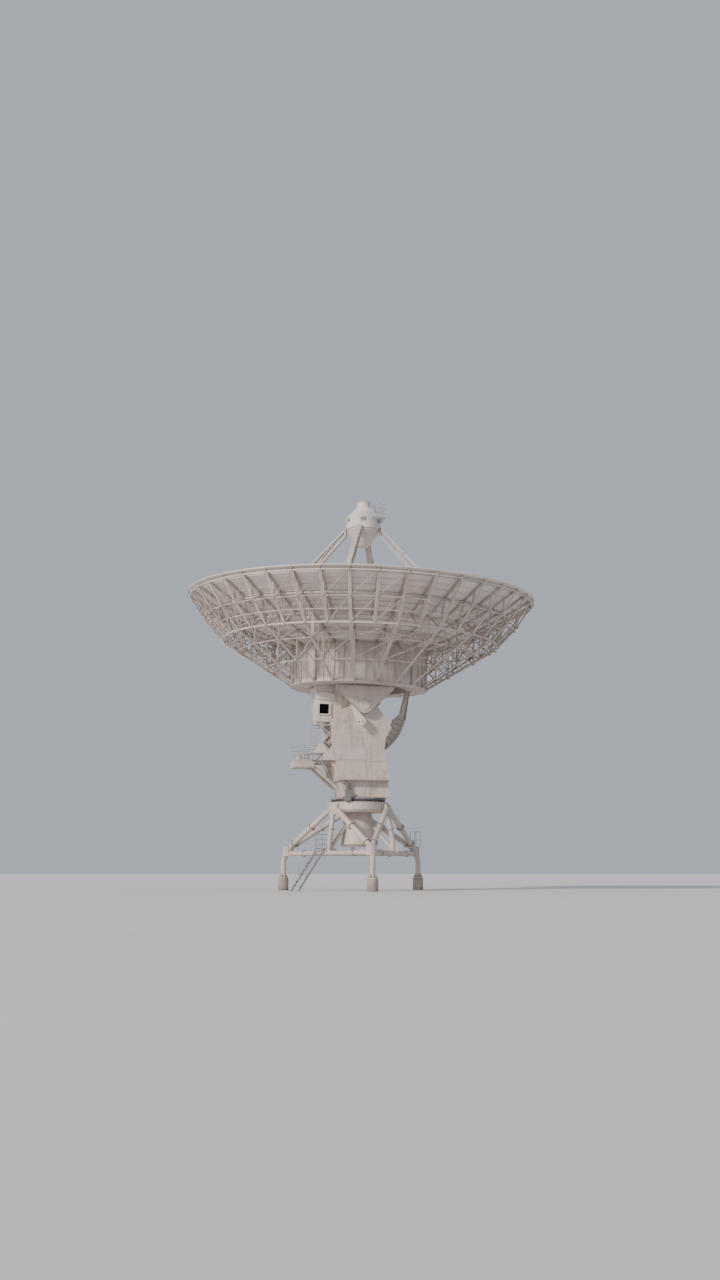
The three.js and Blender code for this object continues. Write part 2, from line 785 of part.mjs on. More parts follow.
// A trunnion is a V-shaped plate under the hub with the shaft that the arm carries.
function trunnion(side) {
  const inner = ARM_OUTER + 150;
  const outer = ARM_OUTER + 550;
  const halfWidth = 2050;
  const round = arc([0, 0], 560, 215, 325, 8);
  const points = [
    ...round,
    [halfWidth, HUB_BOTTOM - 250],
    [halfWidth, HUB_BOTTOM - GAP],
    [-halfWidth, HUB_BOTTOM - GAP],
    [-halfWidth, HUB_BOTTOM - 250],
  ];
  const low = side > 0 ? inner : -outer;
  const high = side > 0 ? outer : -inner;
  const shaftEnd = side * (ROOM_HALF_WIDTH + GAP);
  const shaft = bar([0, shaftEnd, 0], [0, side * (inner + 50), 0], TRUNNION_RADIUS, PIN_SIDES);
  const collar = bar([0, side * (ARM_OUTER + 10), 0], [0, side * (inner + 50), 0], 480, PIN_SIDES);
  return join([plate(points, low, high), shaft, collar]);
}

// The gear sector is a curved beam about the tipping axis. Its front end rises to
// the hub, and spokes hold it below the room.
function gearSector() {
  const halfWidth = 280;
  const centre = [0, 0];
  const inner = SECTOR_RADIUS - SECTOR_DEPTH;
  const roomBottom = ROOM_BOTTOM - GAP;
  const ring = plate([
    ...arc(centre, SECTOR_RADIUS, -135, -12, 18),
    [3700, HUB_BOTTOM - GAP],
    [3430, HUB_BOTTOM - GAP],
    [3050, -200],
    ...arc(centre, inner, -25, -135, 14),
  ], -halfWidth, halfWidth);
  const rearSpoke = plate([
    [-2400, -2200],
    [-1950, -2200],
    [-1950, roomBottom - ROOM_STEP],
    [-2400, roomBottom - ROOM_STEP],
  ], -halfWidth, halfWidth);
  const midSpoke = plate([
    [500, -2750],
    [850, -2700],
    [450, roomBottom],
    [100, roomBottom],
  ], -200, 200);
  return join([ring, rearSpoke, midSpoke]);
}

// The feeds stand on a low drum at the middle of the reflector.
function feedDrum() {
  const top = 4450;
  const drum = turned([
    [0, underside(RING_RADII[0]) + GAP],
    [1120, underside(RING_RADII[0]) + GAP],
    [1120, top],
    [0, top],
  ], 16);
  const horns = [[450, 0, 900, 300], [-350, 480, 500, 230], [-350, -480, 350, 200]];
  const cones = horns.map(([x, y, height, radius]) => {
    const cone = new THREE.CylinderGeometry(radius, radius * 0.6, height, 8);
    cone.rotateX(Math.PI / 2);
    cone.translate(x, y, top + height / 2 - 20);
    return solid(cone);
  });
  return join([drum, ...cones]);
}

function apexHousing(grow = 0) {
  const capBottom = 14760;
  const capTop = 15240;
  const profile = [
    [0, APEX_BOTTOM - grow],
    [APEX_RADIUS + grow, APEX_BOTTOM - grow],
    [APEX_RADIUS + grow, 13960 + grow],
    [1080 + grow, 14050 + grow],
    [560 + grow, capBottom + grow],
    [480 + grow, capBottom + grow],
    [480 + grow, capTop - 40 + grow],
    [300 + grow, capTop + grow],
    [0, capTop + grow],
  ];
  return turned(profile, 20);
}

// The convex mirror below the housing faces the reflector.
function subreflector(grow = 0) {
  return turned([
    [0, 11780 - grow],
    [380 + grow, 11900 - grow],
    [680 + grow, 12220 - grow],
    [980 + grow, 12650 - grow],
    [1170 + grow, 13000 - grow],
    [1170 + grow, APEX_BOTTOM - GAP + grow],
    [0, APEX_BOTTOM - GAP + grow],
  ], 20);
}

function apexCage() {
  const floor = 14000;
  const top = 15080;
  const inner = 780;
  const outer = 1500;
  const half = 560;
  const corners = [[inner, -half], [outer, -half], [outer, half], [inner, half]];
  const pieces = [box([inner - 40, -half - 40, floor], [outer + 40, half + 40, floor + 60])];
  for (const [x, y] of corners) {
    pieces.push(post(x, y, floor + 30, top, 26, 4));
  }
  for (const height of [floor + 560, top]) {
    for (let i = 0; i < corners.length; i += 1) {
      pieces.push(bar([...corners[i], height], [...corners[(i + 1) % corners.length], height], 24, 4));
    }
  }
  return cut(join(pieces), apexHousing(GAP));
}

// The four legs are turned by this many degrees from the front, the rear and the two sides.
const LEG_TURN = -22;

// A feed leg is a tapering pair of chords with cross pieces, from the reflector to the housing.
// A post stands at its head, beside the housing.
function feedLeg() {
  const width = 360;
  const outer = [[1000, 13500], [8800, 5333]];
  const inner = [[1300, 12700], [7900, 5200]];
  const at = (line, share) => line[0].map((value, axis) => value + (line[1][axis] - value) * share);
  const pieces = [flatBar(...outer, 140, width), flatBar(...inner, 140, width)];
  pieces.push(flatBar([1320, 12600], [1320, 13200], 140, width));
  const stations = [0.16, 0.36, 0.56, 0.76];
  stations.forEach((share, i) => {
    const next = stations[i + 1] ?? 0.94;
    pieces.push(flatBar(at(outer, share), at(inner, share), 80, width - 80));
    pieces.push(flatBar(at(outer, share), at(inner, next), 80, width - 80));
  });
  return join(pieces);
}

// All that lies under the reflector's surface, with the gap above it, for trimming the legs' feet.
function belowReflector() {
  const low = VERTEX_HEIGHT - 1500;
  const top = RING_RADII.map((radius) => [radius, surface(radius) + GAP]);
  return turned([[0, low], [RIM_RADIUS, low], ...top.reverse(), [0, surface(RING_RADII[0]) + GAP]]);
}

function dish() {
  const group = new THREE.Group();
  group.position.z = TIP_AXIS_HEIGHT;
  group.rotation.y = TILT;
  const whole = turned(reflectorProfile(0, PANEL_DEPTH));
  const wedge = segmentWedge();
  const rings = hoops();
  for (let i = 0; i < SEGMENTS; i += 1) {
    group.add(mesh(`reflector_segment_${i + 1}`, reflectorSegment(whole, wedge, i), panel));
    group.add(mesh(`rib_frame_${i + 1}`, ribFrame(rings, wedge, i), paint));
  }
  group.add(mesh('hub', hub(), paint));
  group.add(mesh('vertex_room', vertexRoom(), paint));
  group.add(mesh('trunnion_near', trunnion(-1), paint));
  group.add(mesh('trunnion_far', trunnion(1), paint));
  group.add(mesh('gear_sector', gearSector(), paint));
  group.add(mesh('feed_drum', feedDrum(), panel));
  const taken = join([belowReflector(), apexHousing(GAP), subreflector(GAP)]);
  const legs = ['front', 'far', 'rear', 'near'];
  legs.forEach((name, i) => {
    const leg = feedLeg().rotate([0, 0, LEG_TURN + 90 * i]);
    group.add(mesh(`feed_leg_${name}`, cut(leg, taken), paint));
  });
  group.add(mesh('apex_housing', apexHousing(), panel));
  group.add(mesh('subreflector', subreflector(), panel));
  group.add(mesh('apex_cage', apexCage(), paint));
  return group;
}

const telescope = new THREE.Group();
telescope.position.x = TURN_AXIS_X;
telescope.add(pedestal(), yoke(), dish());

export default telescope;
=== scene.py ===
"""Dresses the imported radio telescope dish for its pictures: panels, trusses, pipes, rails,
gears and bolts as numpy surfaces, weathered paint on each, a pale floor, soft light and a camera.

Metres, +Z up. Pieces of the dish are worked out in its own frame, with heights along the
dish's axis from the tipping axis, and pieces of the yoke and pedestal from the turning axis.
"""
import json
import math

import bmesh
import bpy
import numpy as np
from bpy.props import FloatProperty, FloatVectorProperty, IntProperty, PointerProperty
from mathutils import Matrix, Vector


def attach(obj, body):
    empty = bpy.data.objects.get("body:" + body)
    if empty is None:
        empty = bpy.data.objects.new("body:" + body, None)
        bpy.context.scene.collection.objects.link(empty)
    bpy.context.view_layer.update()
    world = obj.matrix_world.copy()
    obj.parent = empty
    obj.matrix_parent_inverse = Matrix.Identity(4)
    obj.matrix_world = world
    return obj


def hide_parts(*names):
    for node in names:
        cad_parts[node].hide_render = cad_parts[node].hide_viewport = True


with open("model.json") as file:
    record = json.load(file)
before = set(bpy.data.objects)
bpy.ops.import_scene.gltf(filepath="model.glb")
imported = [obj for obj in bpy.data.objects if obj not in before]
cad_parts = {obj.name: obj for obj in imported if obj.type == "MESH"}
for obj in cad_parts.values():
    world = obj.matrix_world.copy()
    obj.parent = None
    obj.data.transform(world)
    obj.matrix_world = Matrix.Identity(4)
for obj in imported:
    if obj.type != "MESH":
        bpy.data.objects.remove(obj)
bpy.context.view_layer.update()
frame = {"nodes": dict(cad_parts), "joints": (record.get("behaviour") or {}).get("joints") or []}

bl_info = {
    "name": "Radio telescope dish",
    "version": (1, 0, 0),
    "blender": (4, 5, 0),
    "location": "3D View > Sidebar > Telescope",
    "description": "Builds the visible pieces and finishes of a 25 metre radio telescope dish",
    "category": "Object",
}

JOINTS = {joint["name"]: joint for joint in frame["joints"]}
AXIS_X = JOINTS["azimuth_turn"]["pos_m"][0]
TIP_HEIGHT = JOINTS["elevation_tip"]["pos_m"][2]
# At rest the dish's axis leans this far to the front.
TILT = math.radians(1.65)

# The reflector's rings of panels, from the middle outwards, and the panels in each. The ribs
# behind them stand at even angles from the first one on.
RINGS = (1.2, 2.9, 4.8, 6.7, 8.6, 10.5, 12.5)
PANELS = (12, 20, 20, 40, 40, 40)
FIRST_RIB = math.radians(4.5)
RIBS = 40
RIB_STEP = 2 * math.pi / RIBS
PANEL_DEPTH = 0.06
FOCAL_LENGTH = 9.0
VERTEX_HEIGHT = 3.64
HUB_RADIUS = 4.8

# The pedestal's sides and corners, in degrees about the turning axis, the distances of its feet
# and knuckles from that axis, one end of a side, and the node where its struts meet the ring.
BAY_ANGLES = {"front": 330, "far": 90, "stair": 210}
CORNER_ANGLES = {"near": -90, "front": 30, "rear": 150}
FOOT_RADIUS = 5.7
CORNER_RADIUS = 5.35
SIDE_X = CORNER_RADIUS * math.cos(math.radians(60))
SIDE_Y = CORNER_RADIUS * math.sin(math.radians(60))
RING_NODE = (2.2, 0.0, 5.85)

# The feed legs stand this far round from the front, the rear and the sides. Their chords run
# from the housing down to the reflector, as (radius, height).
LEG_TURN = -22
OUTER_CHORD = ((1.0, 13.5), (8.8, 5.333))
INNER_CHORD = ((1.3, 12.7), (7.9, 5.2))

# The room's hatch: rear, front, sill and head.
HATCH = (-2.98, -2.31, -0.6, 0.1)

# The yoke's faces, from the middle outwards, and the heights of its base's top and its decks.
ARM_INNER = 1.45
NECK_FACE = 1.7
ARM_OUTER = 2.25
BASE_TOP = 9.0
DECK_TOP = 8.98
LADDER_DECK_FRAME = 9.49
LADDER_LANDING_FRAME = 11.47

# A turned solid's outline starts this far from its axis, so that its ends keep a small flat.
CORE = 0.02

# Edges that turn by more than this stay sharp.
SHARP_ANGLE = math.radians(32)
SEED = 7

# The numbers of a colour Mix node's two colours among its inputs, and of its result.
FIRST, SECOND, MIXED = 6, 7, 2


# Shapes

class Solid:
    """Points, faces as arrays of point numbers with one row a face, and a tint for each point."""

    def __init__(self, points, faces, tint=None):
        self.points = np.asarray(points, float).reshape(-1, 3)
        self.faces = faces
        self.tint = np.zeros(len(self.points)) if tint is None else tint


def joined(*parts):
    """All parts as one solid; face numbers move up by the points that come before."""
    starts = np.cumsum([0] + [len(part.points) for part in parts[:-1]])
    faces = [rows + start for part, start in zip(parts, starts) for rows in part.faces]
    points = np.concatenate([part.points for part in parts])
    return Solid(points, faces, np.concatenate([part.tint for part in parts]))


def part_tints(count, points_each):
    """A random tint from -1 to 1 for each part, the same on all of its points."""
    tint = np.random.default_rng(SEED).uniform(-1, 1, count)
    return np.repeat(tint, points_each)


def repeated(rows, count, points_each):
    """Rows of point numbers for each part, moved up by the points of the parts before it."""
    starts = np.arange(count)[:, None, None] * points_each
    return (rows[None] + starts).reshape(-1, rows.shape[1])


def copies(solid, turns):
    """The solid once for each 3x3 matrix, which turns its points; every copy has its own tint."""
    points = np.einsum("kij,nj->kni", turns, solid.points)
    count, points_each = len(turns), len(solid.points)
    faces = [repeated(rows, count, points_each) for rows in solid.faces]
    return Solid(points, faces, part_tints(count, points_each))


def about_z(angles):
    """Matrices that turn by each angle about Z: x' = x cos - y sin, y' = x sin + y cos."""
    angles = np.atleast_1d(np.asarray(angles, float))
    cos, sin, zero, one = np.cos(angles), np.sin(angles), 0 * angles, 0 * angles + 1
    rows = np.stack([cos, -sin, zero, sin, cos, zero, zero, zero, one], axis=-1)
    return rows.reshape(-1, 3, 3)


def about_y(angles):
    """Matrices that turn by each angle about Y: x' = x cos + z sin, z' = z cos - x sin."""
    cos, sin, zero, one = np.cos(angles), np.sin(angles), 0 * angles, 0 * angles + 1
    rows = np.stack([cos, zero, sin, zero, one, zero, -sin, zero, cos], axis=-1)
    return rows.reshape(-1, 3, 3)


def around(solid, angles):
    """The solid repeated about Z at each angle."""
    return copies(solid, about_z(angles))


def moved(solid, offset):
    """Every point plus the offset."""
    return Solid(solid.points + np.asarray(offset, float), solid.faces, solid.tint)


# Turns that lay a solid made along Z down: its top points to -Y, or to +X.
ALONG_Y = np.array([[1.0, 0, 0], [0, 0, -1], [0, 1, 0]])
ALONG_X = np.array([[0, 0, 1.0], [0, 1, 0], [-1, 0, 0]])


def turned(solid, matrix):
    """Every point times a 3x3 matrix."""
    return Solid(solid.points @ np.asarray(matrix, float).T, solid.faces, solid.tint)


def grid_faces(rows, columns, wrap=False):
    """Quads between the neighbours of a grid of rows x columns points, closed round if wrapped."""
    numbers = np.arange(rows * columns).reshape(rows, columns)
    if wrap:
        numbers = np.concatenate([numbers, numbers[:, :1]], axis=1)
    corners = [numbers[:-1, :-1], numbers[:-1, 1:], numbers[1:, 1:], numbers[1:, :-1]]
    return np.stack(corners, axis=-1).reshape(-1, 4)


def tube_faces(rows, sides):
    """Faces round a stack of closed rows of points, and a cap on its first and its last row."""
    first = np.arange(sides)
    caps = np.stack([first[::-1], first + (rows - 1) * sides])
    return [grid_faces(rows, sides, wrap=True), caps]


def shell(top, bottom):
    """A closed slab between two like grids: both faces, and walls along their four edges."""
    rows, columns = top.shape[-3], top.shape[-2]
    count = int(np.prod(top.shape[:-3], dtype=int))
    size = rows * columns
    points = np.stack([top.reshape(count, size, 3), bottom.reshape(count, size, 3)], axis=1)
    numbers = np.arange(size).reshape(rows, columns)
    edges = [numbers[0], numbers[:, -1], numbers[-1, ::-1], numbers[::-1, 0]]
    rim = np.concatenate([edge[:-1] for edge in edges])
    after = np.roll(rim, -1)
    walls = np.stack([rim, after, after + size, rim + size], axis=-1)
    upper = grid_faces(rows, columns)
    one = np.concatenate([upper, upper[:, ::-1] + size, walls])
    return Solid(points, [repeated(one, count, 2 * size)], part_tints(count, 2 * size))


def basis(direction):
    """Two unit vectors square to each direction: across is level, and over points upwards."""
    direction = direction / np.linalg.norm(direction, axis=-1, keepdims=True)
    steep = np.abs(direction[..., 2:]) > 0.98
    level = np.where(steep, (1.0, 0.0, 0.0), (0.0, 0.0, 1.0))
    across = np.cross(level, direction)
    across /= np.linalg.norm(across, axis=-1, keepdims=True)
    return across, np.cross(direction, across)


def bars(lines, profile):
    """A flat profile carried from start to end of each line, point = end + u across + v over."""
    lines = np.asarray(lines, float).reshape(-1, 2, 3)
    profile = np.asarray(profile, float)
    across, over = basis(lines[:, 1] - lines[:, 0])
    ring = profile[:, 0, None] * across[:, None] + profile[:, 1, None] * over[:, None]
    points = lines[:, :, None, :] + ring[:, None, :, :]
    count, points_each = len(lines), 2 * len(profile)
    faces = [repeated(rows, count, points_each) for rows in tube_faces(2, len(profile))]
    return Solid(points, faces, part_tints(count, points_each))


def even(count, start=0.0):
    """Angles once round in even steps."""
    return start + np.arange(count) * 2 * math.pi / count


def polar(radius, angle, height):
    """Points (radius cos angle, radius sin angle, height)."""
    return np.stack([radius * np.cos(angle), radius * np.sin(angle), height + 0 * angle], -1)


def circle(radius, sides):
    """Points at radius (cos, sin) of even steps of angle."""
    return polar(radius, even(sides), 0.0)[:, :2]


def rectangle(width, depth):
    """Its four corners, at half the width and half the depth from its middle."""
    half = np.array([width, depth]) / 2
    return np.array([(-1, -1), (1, -1), (1, 1), (-1, 1)]) * half


def tubes(lines, radius, sides):
    """A circle carried from start to end of each line."""
    return bars(lines, circle(radius, sides))


def pipe(path, radius, sides):
    """A circle carried along a bent path, square to the mean direction at each of its points.

    Across is the same axis crossed with each direction, the one that the path keeps furthest
    from, so that the pipe never twists.
    """
    path = np.asarray(path, float)
    steps = np.diff(path, axis=0)
    steps /= np.linalg.norm(steps, axis=1, keepdims=True)
    along = np.concatenate([steps[:1], steps[:-1] + steps[1:], steps[-1:]])
    along /= np.linalg.norm(along, axis=1, keepdims=True)
    across = np.cross(np.eye(3)[np.abs(along).max(axis=0).argmin()], along)
    across /= np.linalg.norm(across, axis=1, keepdims=True)
    over = np.cross(along, across)
    ring = circle(radius, sides)
    points = path[:, None] + ring[:, 0, None] * across[:, None] + ring[:, 1, None] * over[:, None]
    return Solid(points, tube_faces(len(path), sides))


def lathe(profile, sides=96, closed=False, start=0.0):
    """A profile of (radius, height) turned about Z: (r cos, r sin, h). An open one gets end discs."""
    profile = np.asarray(profile, float)
    rows = len(profile)
    points = polar(profile[:, 0, None], even(sides, start), profile[:, 1, None])
    if closed:
        faces = grid_faces(rows + 1, sides, wrap=True) % (rows * sides)
        return Solid(points, [faces])
    return Solid(points, tube_faces(rows, sides))


def band(inner, outer, low, high, sides=96):
    """A ring about Z with a rectangular section, between two radii and two heights."""
    return lathe([(inner, low), (outer, low), (outer, high), (inner, high)], sides, closed=True)


def disc(radius, low, high, sides=48):
    """A round plate about Z, between two heights."""
    return lathe([(CORE, low), (radius, low), (radius, high), (CORE, high)], sides)


def prism(outline, low, high):
    """An outline of (x, z) carried along Y from low to high, with both ends closed."""
    outline = np.asarray(outline, float)
    count = len(outline)
    flat = np.insert(outline, 1, low, axis=1)
    points = np.concatenate([flat, flat + (0, high - low, 0)])
    caps = np.stack([np.arange(count), np.arange(count)[::-1] + count])
    return Solid(points, [grid_faces(2, count, wrap=True), caps])


def sheet(outline, side, inner, outer):
    """An outline of (x, z) as a plate on one side, -1 or 1, between two distances along Y."""
    return prism(outline, *sorted((side * inner, side * outer)))


def blocks(boxes):
    """A box between the lowest and the highest corner of each pair."""
    lows, highs = np.asarray(boxes, float).reshape(-1, 2, 3).transpose(1, 0, 2)
    signs = np.array([(x, y, level) for level in (-1, 1) for x, y in rectangle(2, 2)])
    points = (lows + highs)[:, None] / 2 + signs * ((highs - lows) / 2)[:, None]
    faces = repeated(np.concatenate(tube_faces(2, 4)), len(lows), 8)
    return Solid(points, [faces], part_tints(len(lows), 8))


def arc(centre, radius, start, end, steps):
    """Points of a circle's arc, angles in degrees: centre + radius (cos, sin)."""
    angles = np.radians(np.linspace(start, end, steps + 1))
    return [(centre[0] + radius * math.cos(a), centre[1] + radius * math.sin(a)) for a in angles]


def bolts(spots, normals, size, height):
    """Six-sided heads that stand on each spot along its normal."""
    spots = np.asarray(spots, float).reshape(-1, 3)
    normals = np.broadcast_to(np.asarray(normals, float), spots.shape)
    return bars(np.stack([spots, spots + normals * height], axis=1), circle(size, 6))


def bolt_circle(radius, count, size, height, bottom):
    """Bolt heads on a circle about Z, standing up from the bottom height."""
    return bolts(polar(radius, even(count), bottom), (0, 0, 1), size, height)


def level_bars(lines, height, width, depth):
    """Bars of a rectangular section along lines of (x, y), all at one height."""
    return bars([[(*a, height), (*b, height)] for a, b in lines], rectangle(width, depth))


def grating(low, high, height, depth, step):
    """Bearing bars along X every step, crossed by thin rods, inside an edge frame."""
    across = np.arange(low[1] + step / 2, high[1], step)
    along = np.arange(low[0] + 0.05, high[0], 0.1)
    corners = [(low[0], low[1]), (high[0], low[1]), (high[0], high[1]), (low[0], high[1])]
    level = height - depth / 2
    return joined(
        level_bars([[(low[0], y), (high[0], y)] for y in across], level, 0.005, depth),
        level_bars([[(x, low[1]), (x, high[1])] for x in along], height - 0.006, 0.006, 0.008),
        level_bars(zip(corners, corners[1:] + corners[:1]), level, 0.008, depth))


def railing(corners, heights, bottom, top, radius, kick=0.0):
    """Posts and level rails of round tube along a line of corners, with an upright kick board."""
    spans = list(zip(corners, corners[1:]))
    posts = [[(x, y, bottom), (x, y, top)] for x, y in corners]
    rails = [[(*a, height), (*b, height)] for height in heights for a, b in spans]
    parts = [tubes(posts + rails, radius, 10)]
    if kick:
        parts.append(level_bars(spans, bottom + kick / 2, 0.008, kick))
    return joined(*parts)


def flange_pair(start, end, share, radius, thickness, count, size):
    """Two bolted flanges on a pipe, at a share of the way from start to end, and their bolts."""
    start, end = np.asarray(start, float), np.asarray(end, float)
    along = (end - start) / np.linalg.norm(end - start)
    centre = start + (end - start) * share
    across, over = basis(along[None])
    angles = even(count)[:, None]
    spots = centre + (radius - 1.6 * size) * (np.cos(angles) * across + np.sin(angles) * over)
    gap = along * 0.003
    face = along * (thickness + 0.003)
    plates = [[centre + gap, centre + face], [centre - face, centre - gap]]
    reach = along * (thickness + 0.003 + 0.8 * size)
    through = np.stack([spots - reach, spots + reach], axis=1)
    return tubes(plates, radius, 32), bars(through, circle(size, 6))


# Meshes and their places

def in_dish(points):
    """Turns about Y by the tilt, x' = x cos + z sin and z' = z cos - x sin, and lifts to the axis."""
    x, y, z = points.T
    cos, sin = math.cos(TILT), math.sin(TILT)
    return np.stack([x * cos + z * sin + AXIS_X, y, z * cos - x * sin + TIP_HEIGHT], axis=-1)


def on_ground(points):
    """Heights from the ground and places from the turning axis."""
    return points + (AXIS_X, 0, 0)


PLACES = {"dish": in_dish, "yoke": on_ground, "pedestal": on_ground}


def build(name, solid, paint, body, replaced=(), bevel=0.0, slot=None):
    """Puts a solid into a mesh with outward faces and its tint, and hangs it on its body.

    Paint is the name of its finish. Its slot, the CAD material that such a finish stands for where no
    other is given, is not used.
    """
    mesh = bpy.data.meshes.new(name)
    points = PLACES[body](solid.points)
    numbers = np.concatenate([rows.ravel() for rows in solid.faces])
    sizes = np.concatenate([np.full(len(rows), rows.shape[1]) for rows in solid.faces])
    mesh.vertices.add(len(points))
    mesh.vertices.foreach_set("co", points.astype(np.float32).ravel())
    mesh.loops.add(len(numbers))
    mesh.loops.foreach_set("vertex_index", numbers.astype(np.int32))
    mesh.polygons.add(len(sizes))
    mesh.polygons.foreach_set("loop_start", (np.cumsum(sizes) - sizes).astype(np.int32))
    mesh.update(calc_edges=True)
    tint = mesh.attributes.new("tint", "FLOAT", "POINT")
    tint.data.foreach_set("value", solid.tint.astype(np.float32))
    faces_outwards(mesh)
    mesh.polygons.foreach_set("use_smooth", np.ones(len(mesh.polygons), bool))
    mesh.set_sharp_from_angle(angle=SHARP_ANGLE)
    mesh.materials.append(finish(paint))
    piece = bpy.data.objects.new(name, mesh)
    bpy.context.scene.collection.objects.link(piece)
    if bevel:
        edge = piece.modifiers.new("rounded edges", "BEVEL")
        edge.width = bevel
        edge.segments = 2
        edge.limit_method = "ANGLE"
        edge.angle_limit = math.radians(40)
        edge.harden_normals = True
    slot = slot or SLOTS[paint]
    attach(piece, body)
    if replaced:
        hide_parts(*replaced)


def faces_outwards(mesh):
    """Makes every closed island's faces point away from its inside."""
    work = bmesh.new()
    work.from_mesh(mesh)
    bmesh.ops.recalc_face_normals(work, faces=work.faces)
    work.to_mesh(mesh)
    work.free()


def dress(name, paint):
    """Gives a CAD node that stays in view its finish."""
    for place in frame["nodes"][name].material_slots:
        place.material = finish(paint)


# Finishes

def linear(value):
    """An sRGB hex colour as linear red, green, blue and full cover."""
    parts = [int(value[i:i + 2], 16) / 255 for i in (1, 3, 5)]
    curve = [c / 12.92 if c <= 0.04045 else ((c + 0.055) / 1.055) ** 2.4 for c in parts]
    return (*curve, 1.0)


def add(tree, kind, links=None, **settings):
    """Adds a node with its settings, and sets or links each named or numbered input."""
    made = tree.nodes.new(kind)
    for key, value in settings.items():
        setattr(made, key, value)
    for key, value in (links or {}).items():
        if isinstance(value, bpy.types.NodeSocket):
            tree.links.new(value, made.inputs[key])
        else:
            made.inputs[key].default_value = value
    return made


def new_finish(name):
    """A material whose shader is on its output: its tree, the shader and Object coordinates."""
    material = bpy.data.materials.new(name)
    material.use_nodes = True
    tree = material.node_tree
    tree.nodes.clear()
    shader = add(tree, "ShaderNodeBsdfPrincipled")
    add(tree, "ShaderNodeOutputMaterial", {"Surface": shader.outputs["BSDF"]}, target="ALL")
    place = add(tree, "ShaderNodeTexCoord").outputs["Object"]
    return material, tree, shader, place


def layered(name, ground, layers, roughness, metallic=0.0, spread=0.0):
    """A ground colour with layers over it, and a slightly different shade on each part.

    A layer is (colour, most, size, drawn, low, high, patch). Noise in grains of size mm, drawn
    out downwards, covers what is below by 0 at its value low up to most at its value high,
    and where patch isn't 0, only inside patches of that many mm. Up to the spread, from 0 to 1,
    the parts' tints already mix in some of the first layer's colour.
    """
    material, tree, shader, place = new_finish(name)
    own = add(tree, "ShaderNodeAttribute", attribute_name="tint").outputs["Fac"]
    share = add(tree, "ShaderNodeMapRange", {"Value": own, "From Min": -1.0, "To Max": spread})
    links = {"Factor": share.outputs["Result"], FIRST: ground, SECOND: layers[0][0]}
    colour = add(tree, "ShaderNodeMix", links, data_type="RGBA")
    for over, most, size, drawn, low, high, patch in layers:
        scale = (1000 / size, 1000 / size, 1000 / size / drawn)
        spot = add(tree, "ShaderNodeMapping", {"Vector": place, "Scale": scale})
        links = {"Vector": spot.outputs["Vector"], "Scale": 1.0, "Detail": 4.0}
        field = add(tree, "ShaderNodeTexNoise", links)
        links = {"Value": field.outputs["Fac"], "From Min": low, "From Max": high, "To Max": most}
        share = add(tree, "ShaderNodeMapRange", links).outputs["Result"]
        if patch:
            area = add(tree, "ShaderNodeTexNoise", {"Vector": place, "Scale": 1000 / patch})
            links = {"Value": area.outputs["Fac"], "From Min": 0.45, "From Max": 0.6}
            inside = add(tree, "ShaderNodeMapRange", links).outputs["Result"]
            both = add(tree, "ShaderNodeMath", {0: share, 1: inside}, operation="MULTIPLY")
            share = both.outputs[0]
        links = {"Factor": share, FIRST: colour.outputs[MIXED], SECOND: over}
        colour = add(tree, "ShaderNodeMix", links, data_type="RGBA")
    tree.links.new(colour.outputs[MIXED], shader.inputs["Base Color"])
    sheen = add(tree, "ShaderNodeTexNoise", {"Vector": place, "Scale": 1000 / 240, "Detail": 4.0})
    links = {"Value": sheen.outputs["Fac"], "From Min": 0.3, "From Max": 0.7,
             "To Min": roughness - 0.08, "To Max": roughness + 0.1}
    rough = add(tree, "ShaderNodeMapRange", links).outputs["Result"]
    tree.links.new(rough, shader.inputs["Roughness"])
    shader.inputs["Metallic"].default_value = metallic
    # The coat's own relief: grains of 35 mm, a ninth as deep.
    grain = 35
    fine = add(tree, "ShaderNodeTexNoise", {"Vector": place, "Scale": 1000 / grain, "Detail": 3.0})
    links = {"Height": fine.outputs["Fac"], "Strength": 0.12, "Distance": grain / 9000}
    relief = add(tree, "ShaderNodeBump", links).outputs["Normal"]
    tree.links.new(relief, shader.inputs["Normal"])
    return material


def galvanised(name):
    """Hot-dip galvanised steel. Its zinc crystals are drawn 30 mm across, so that they show."""
    material, tree, shader, place = new_finish(name)
    cells = add(tree, "ShaderNodeTexVoronoi", {"Vector": place, "Scale": 1000 / 30})
    crystal = cells.outputs["Color"]
    links = {"Factor": crystal, FIRST: linear("#a9abab"), SECOND: linear("#c9cbca")}
    grey = add(tree, "ShaderNodeMix", links, data_type="RGBA").outputs[MIXED]
    cloud = add(tree, "ShaderNodeTexNoise", {"Vector": place, "Scale": 1000 / 400, "Detail": 4.0})
    links = {"Value": cloud.outputs["Fac"], "From Min": 0.5, "From Max": 0.75, "To Max": 0.5}
    stain = add(tree, "ShaderNodeMapRange", links).outputs["Result"]
    links = {"Factor": stain, FIRST: grey, SECOND: linear("#8f8a83")}
    grey = add(tree, "ShaderNodeMix", links, data_type="RGBA").outputs[MIXED]
    tree.links.new(grey, shader.inputs["Base Color"])
    shader.inputs["Metallic"].default_value = 0.35
    rough = add(tree, "ShaderNodeMapRange", {"Value": crystal, "To Min": 0.42, "To Max": 0.62})
    tree.links.new(rough.outputs["Result"], shader.inputs["Roughness"])
    return material


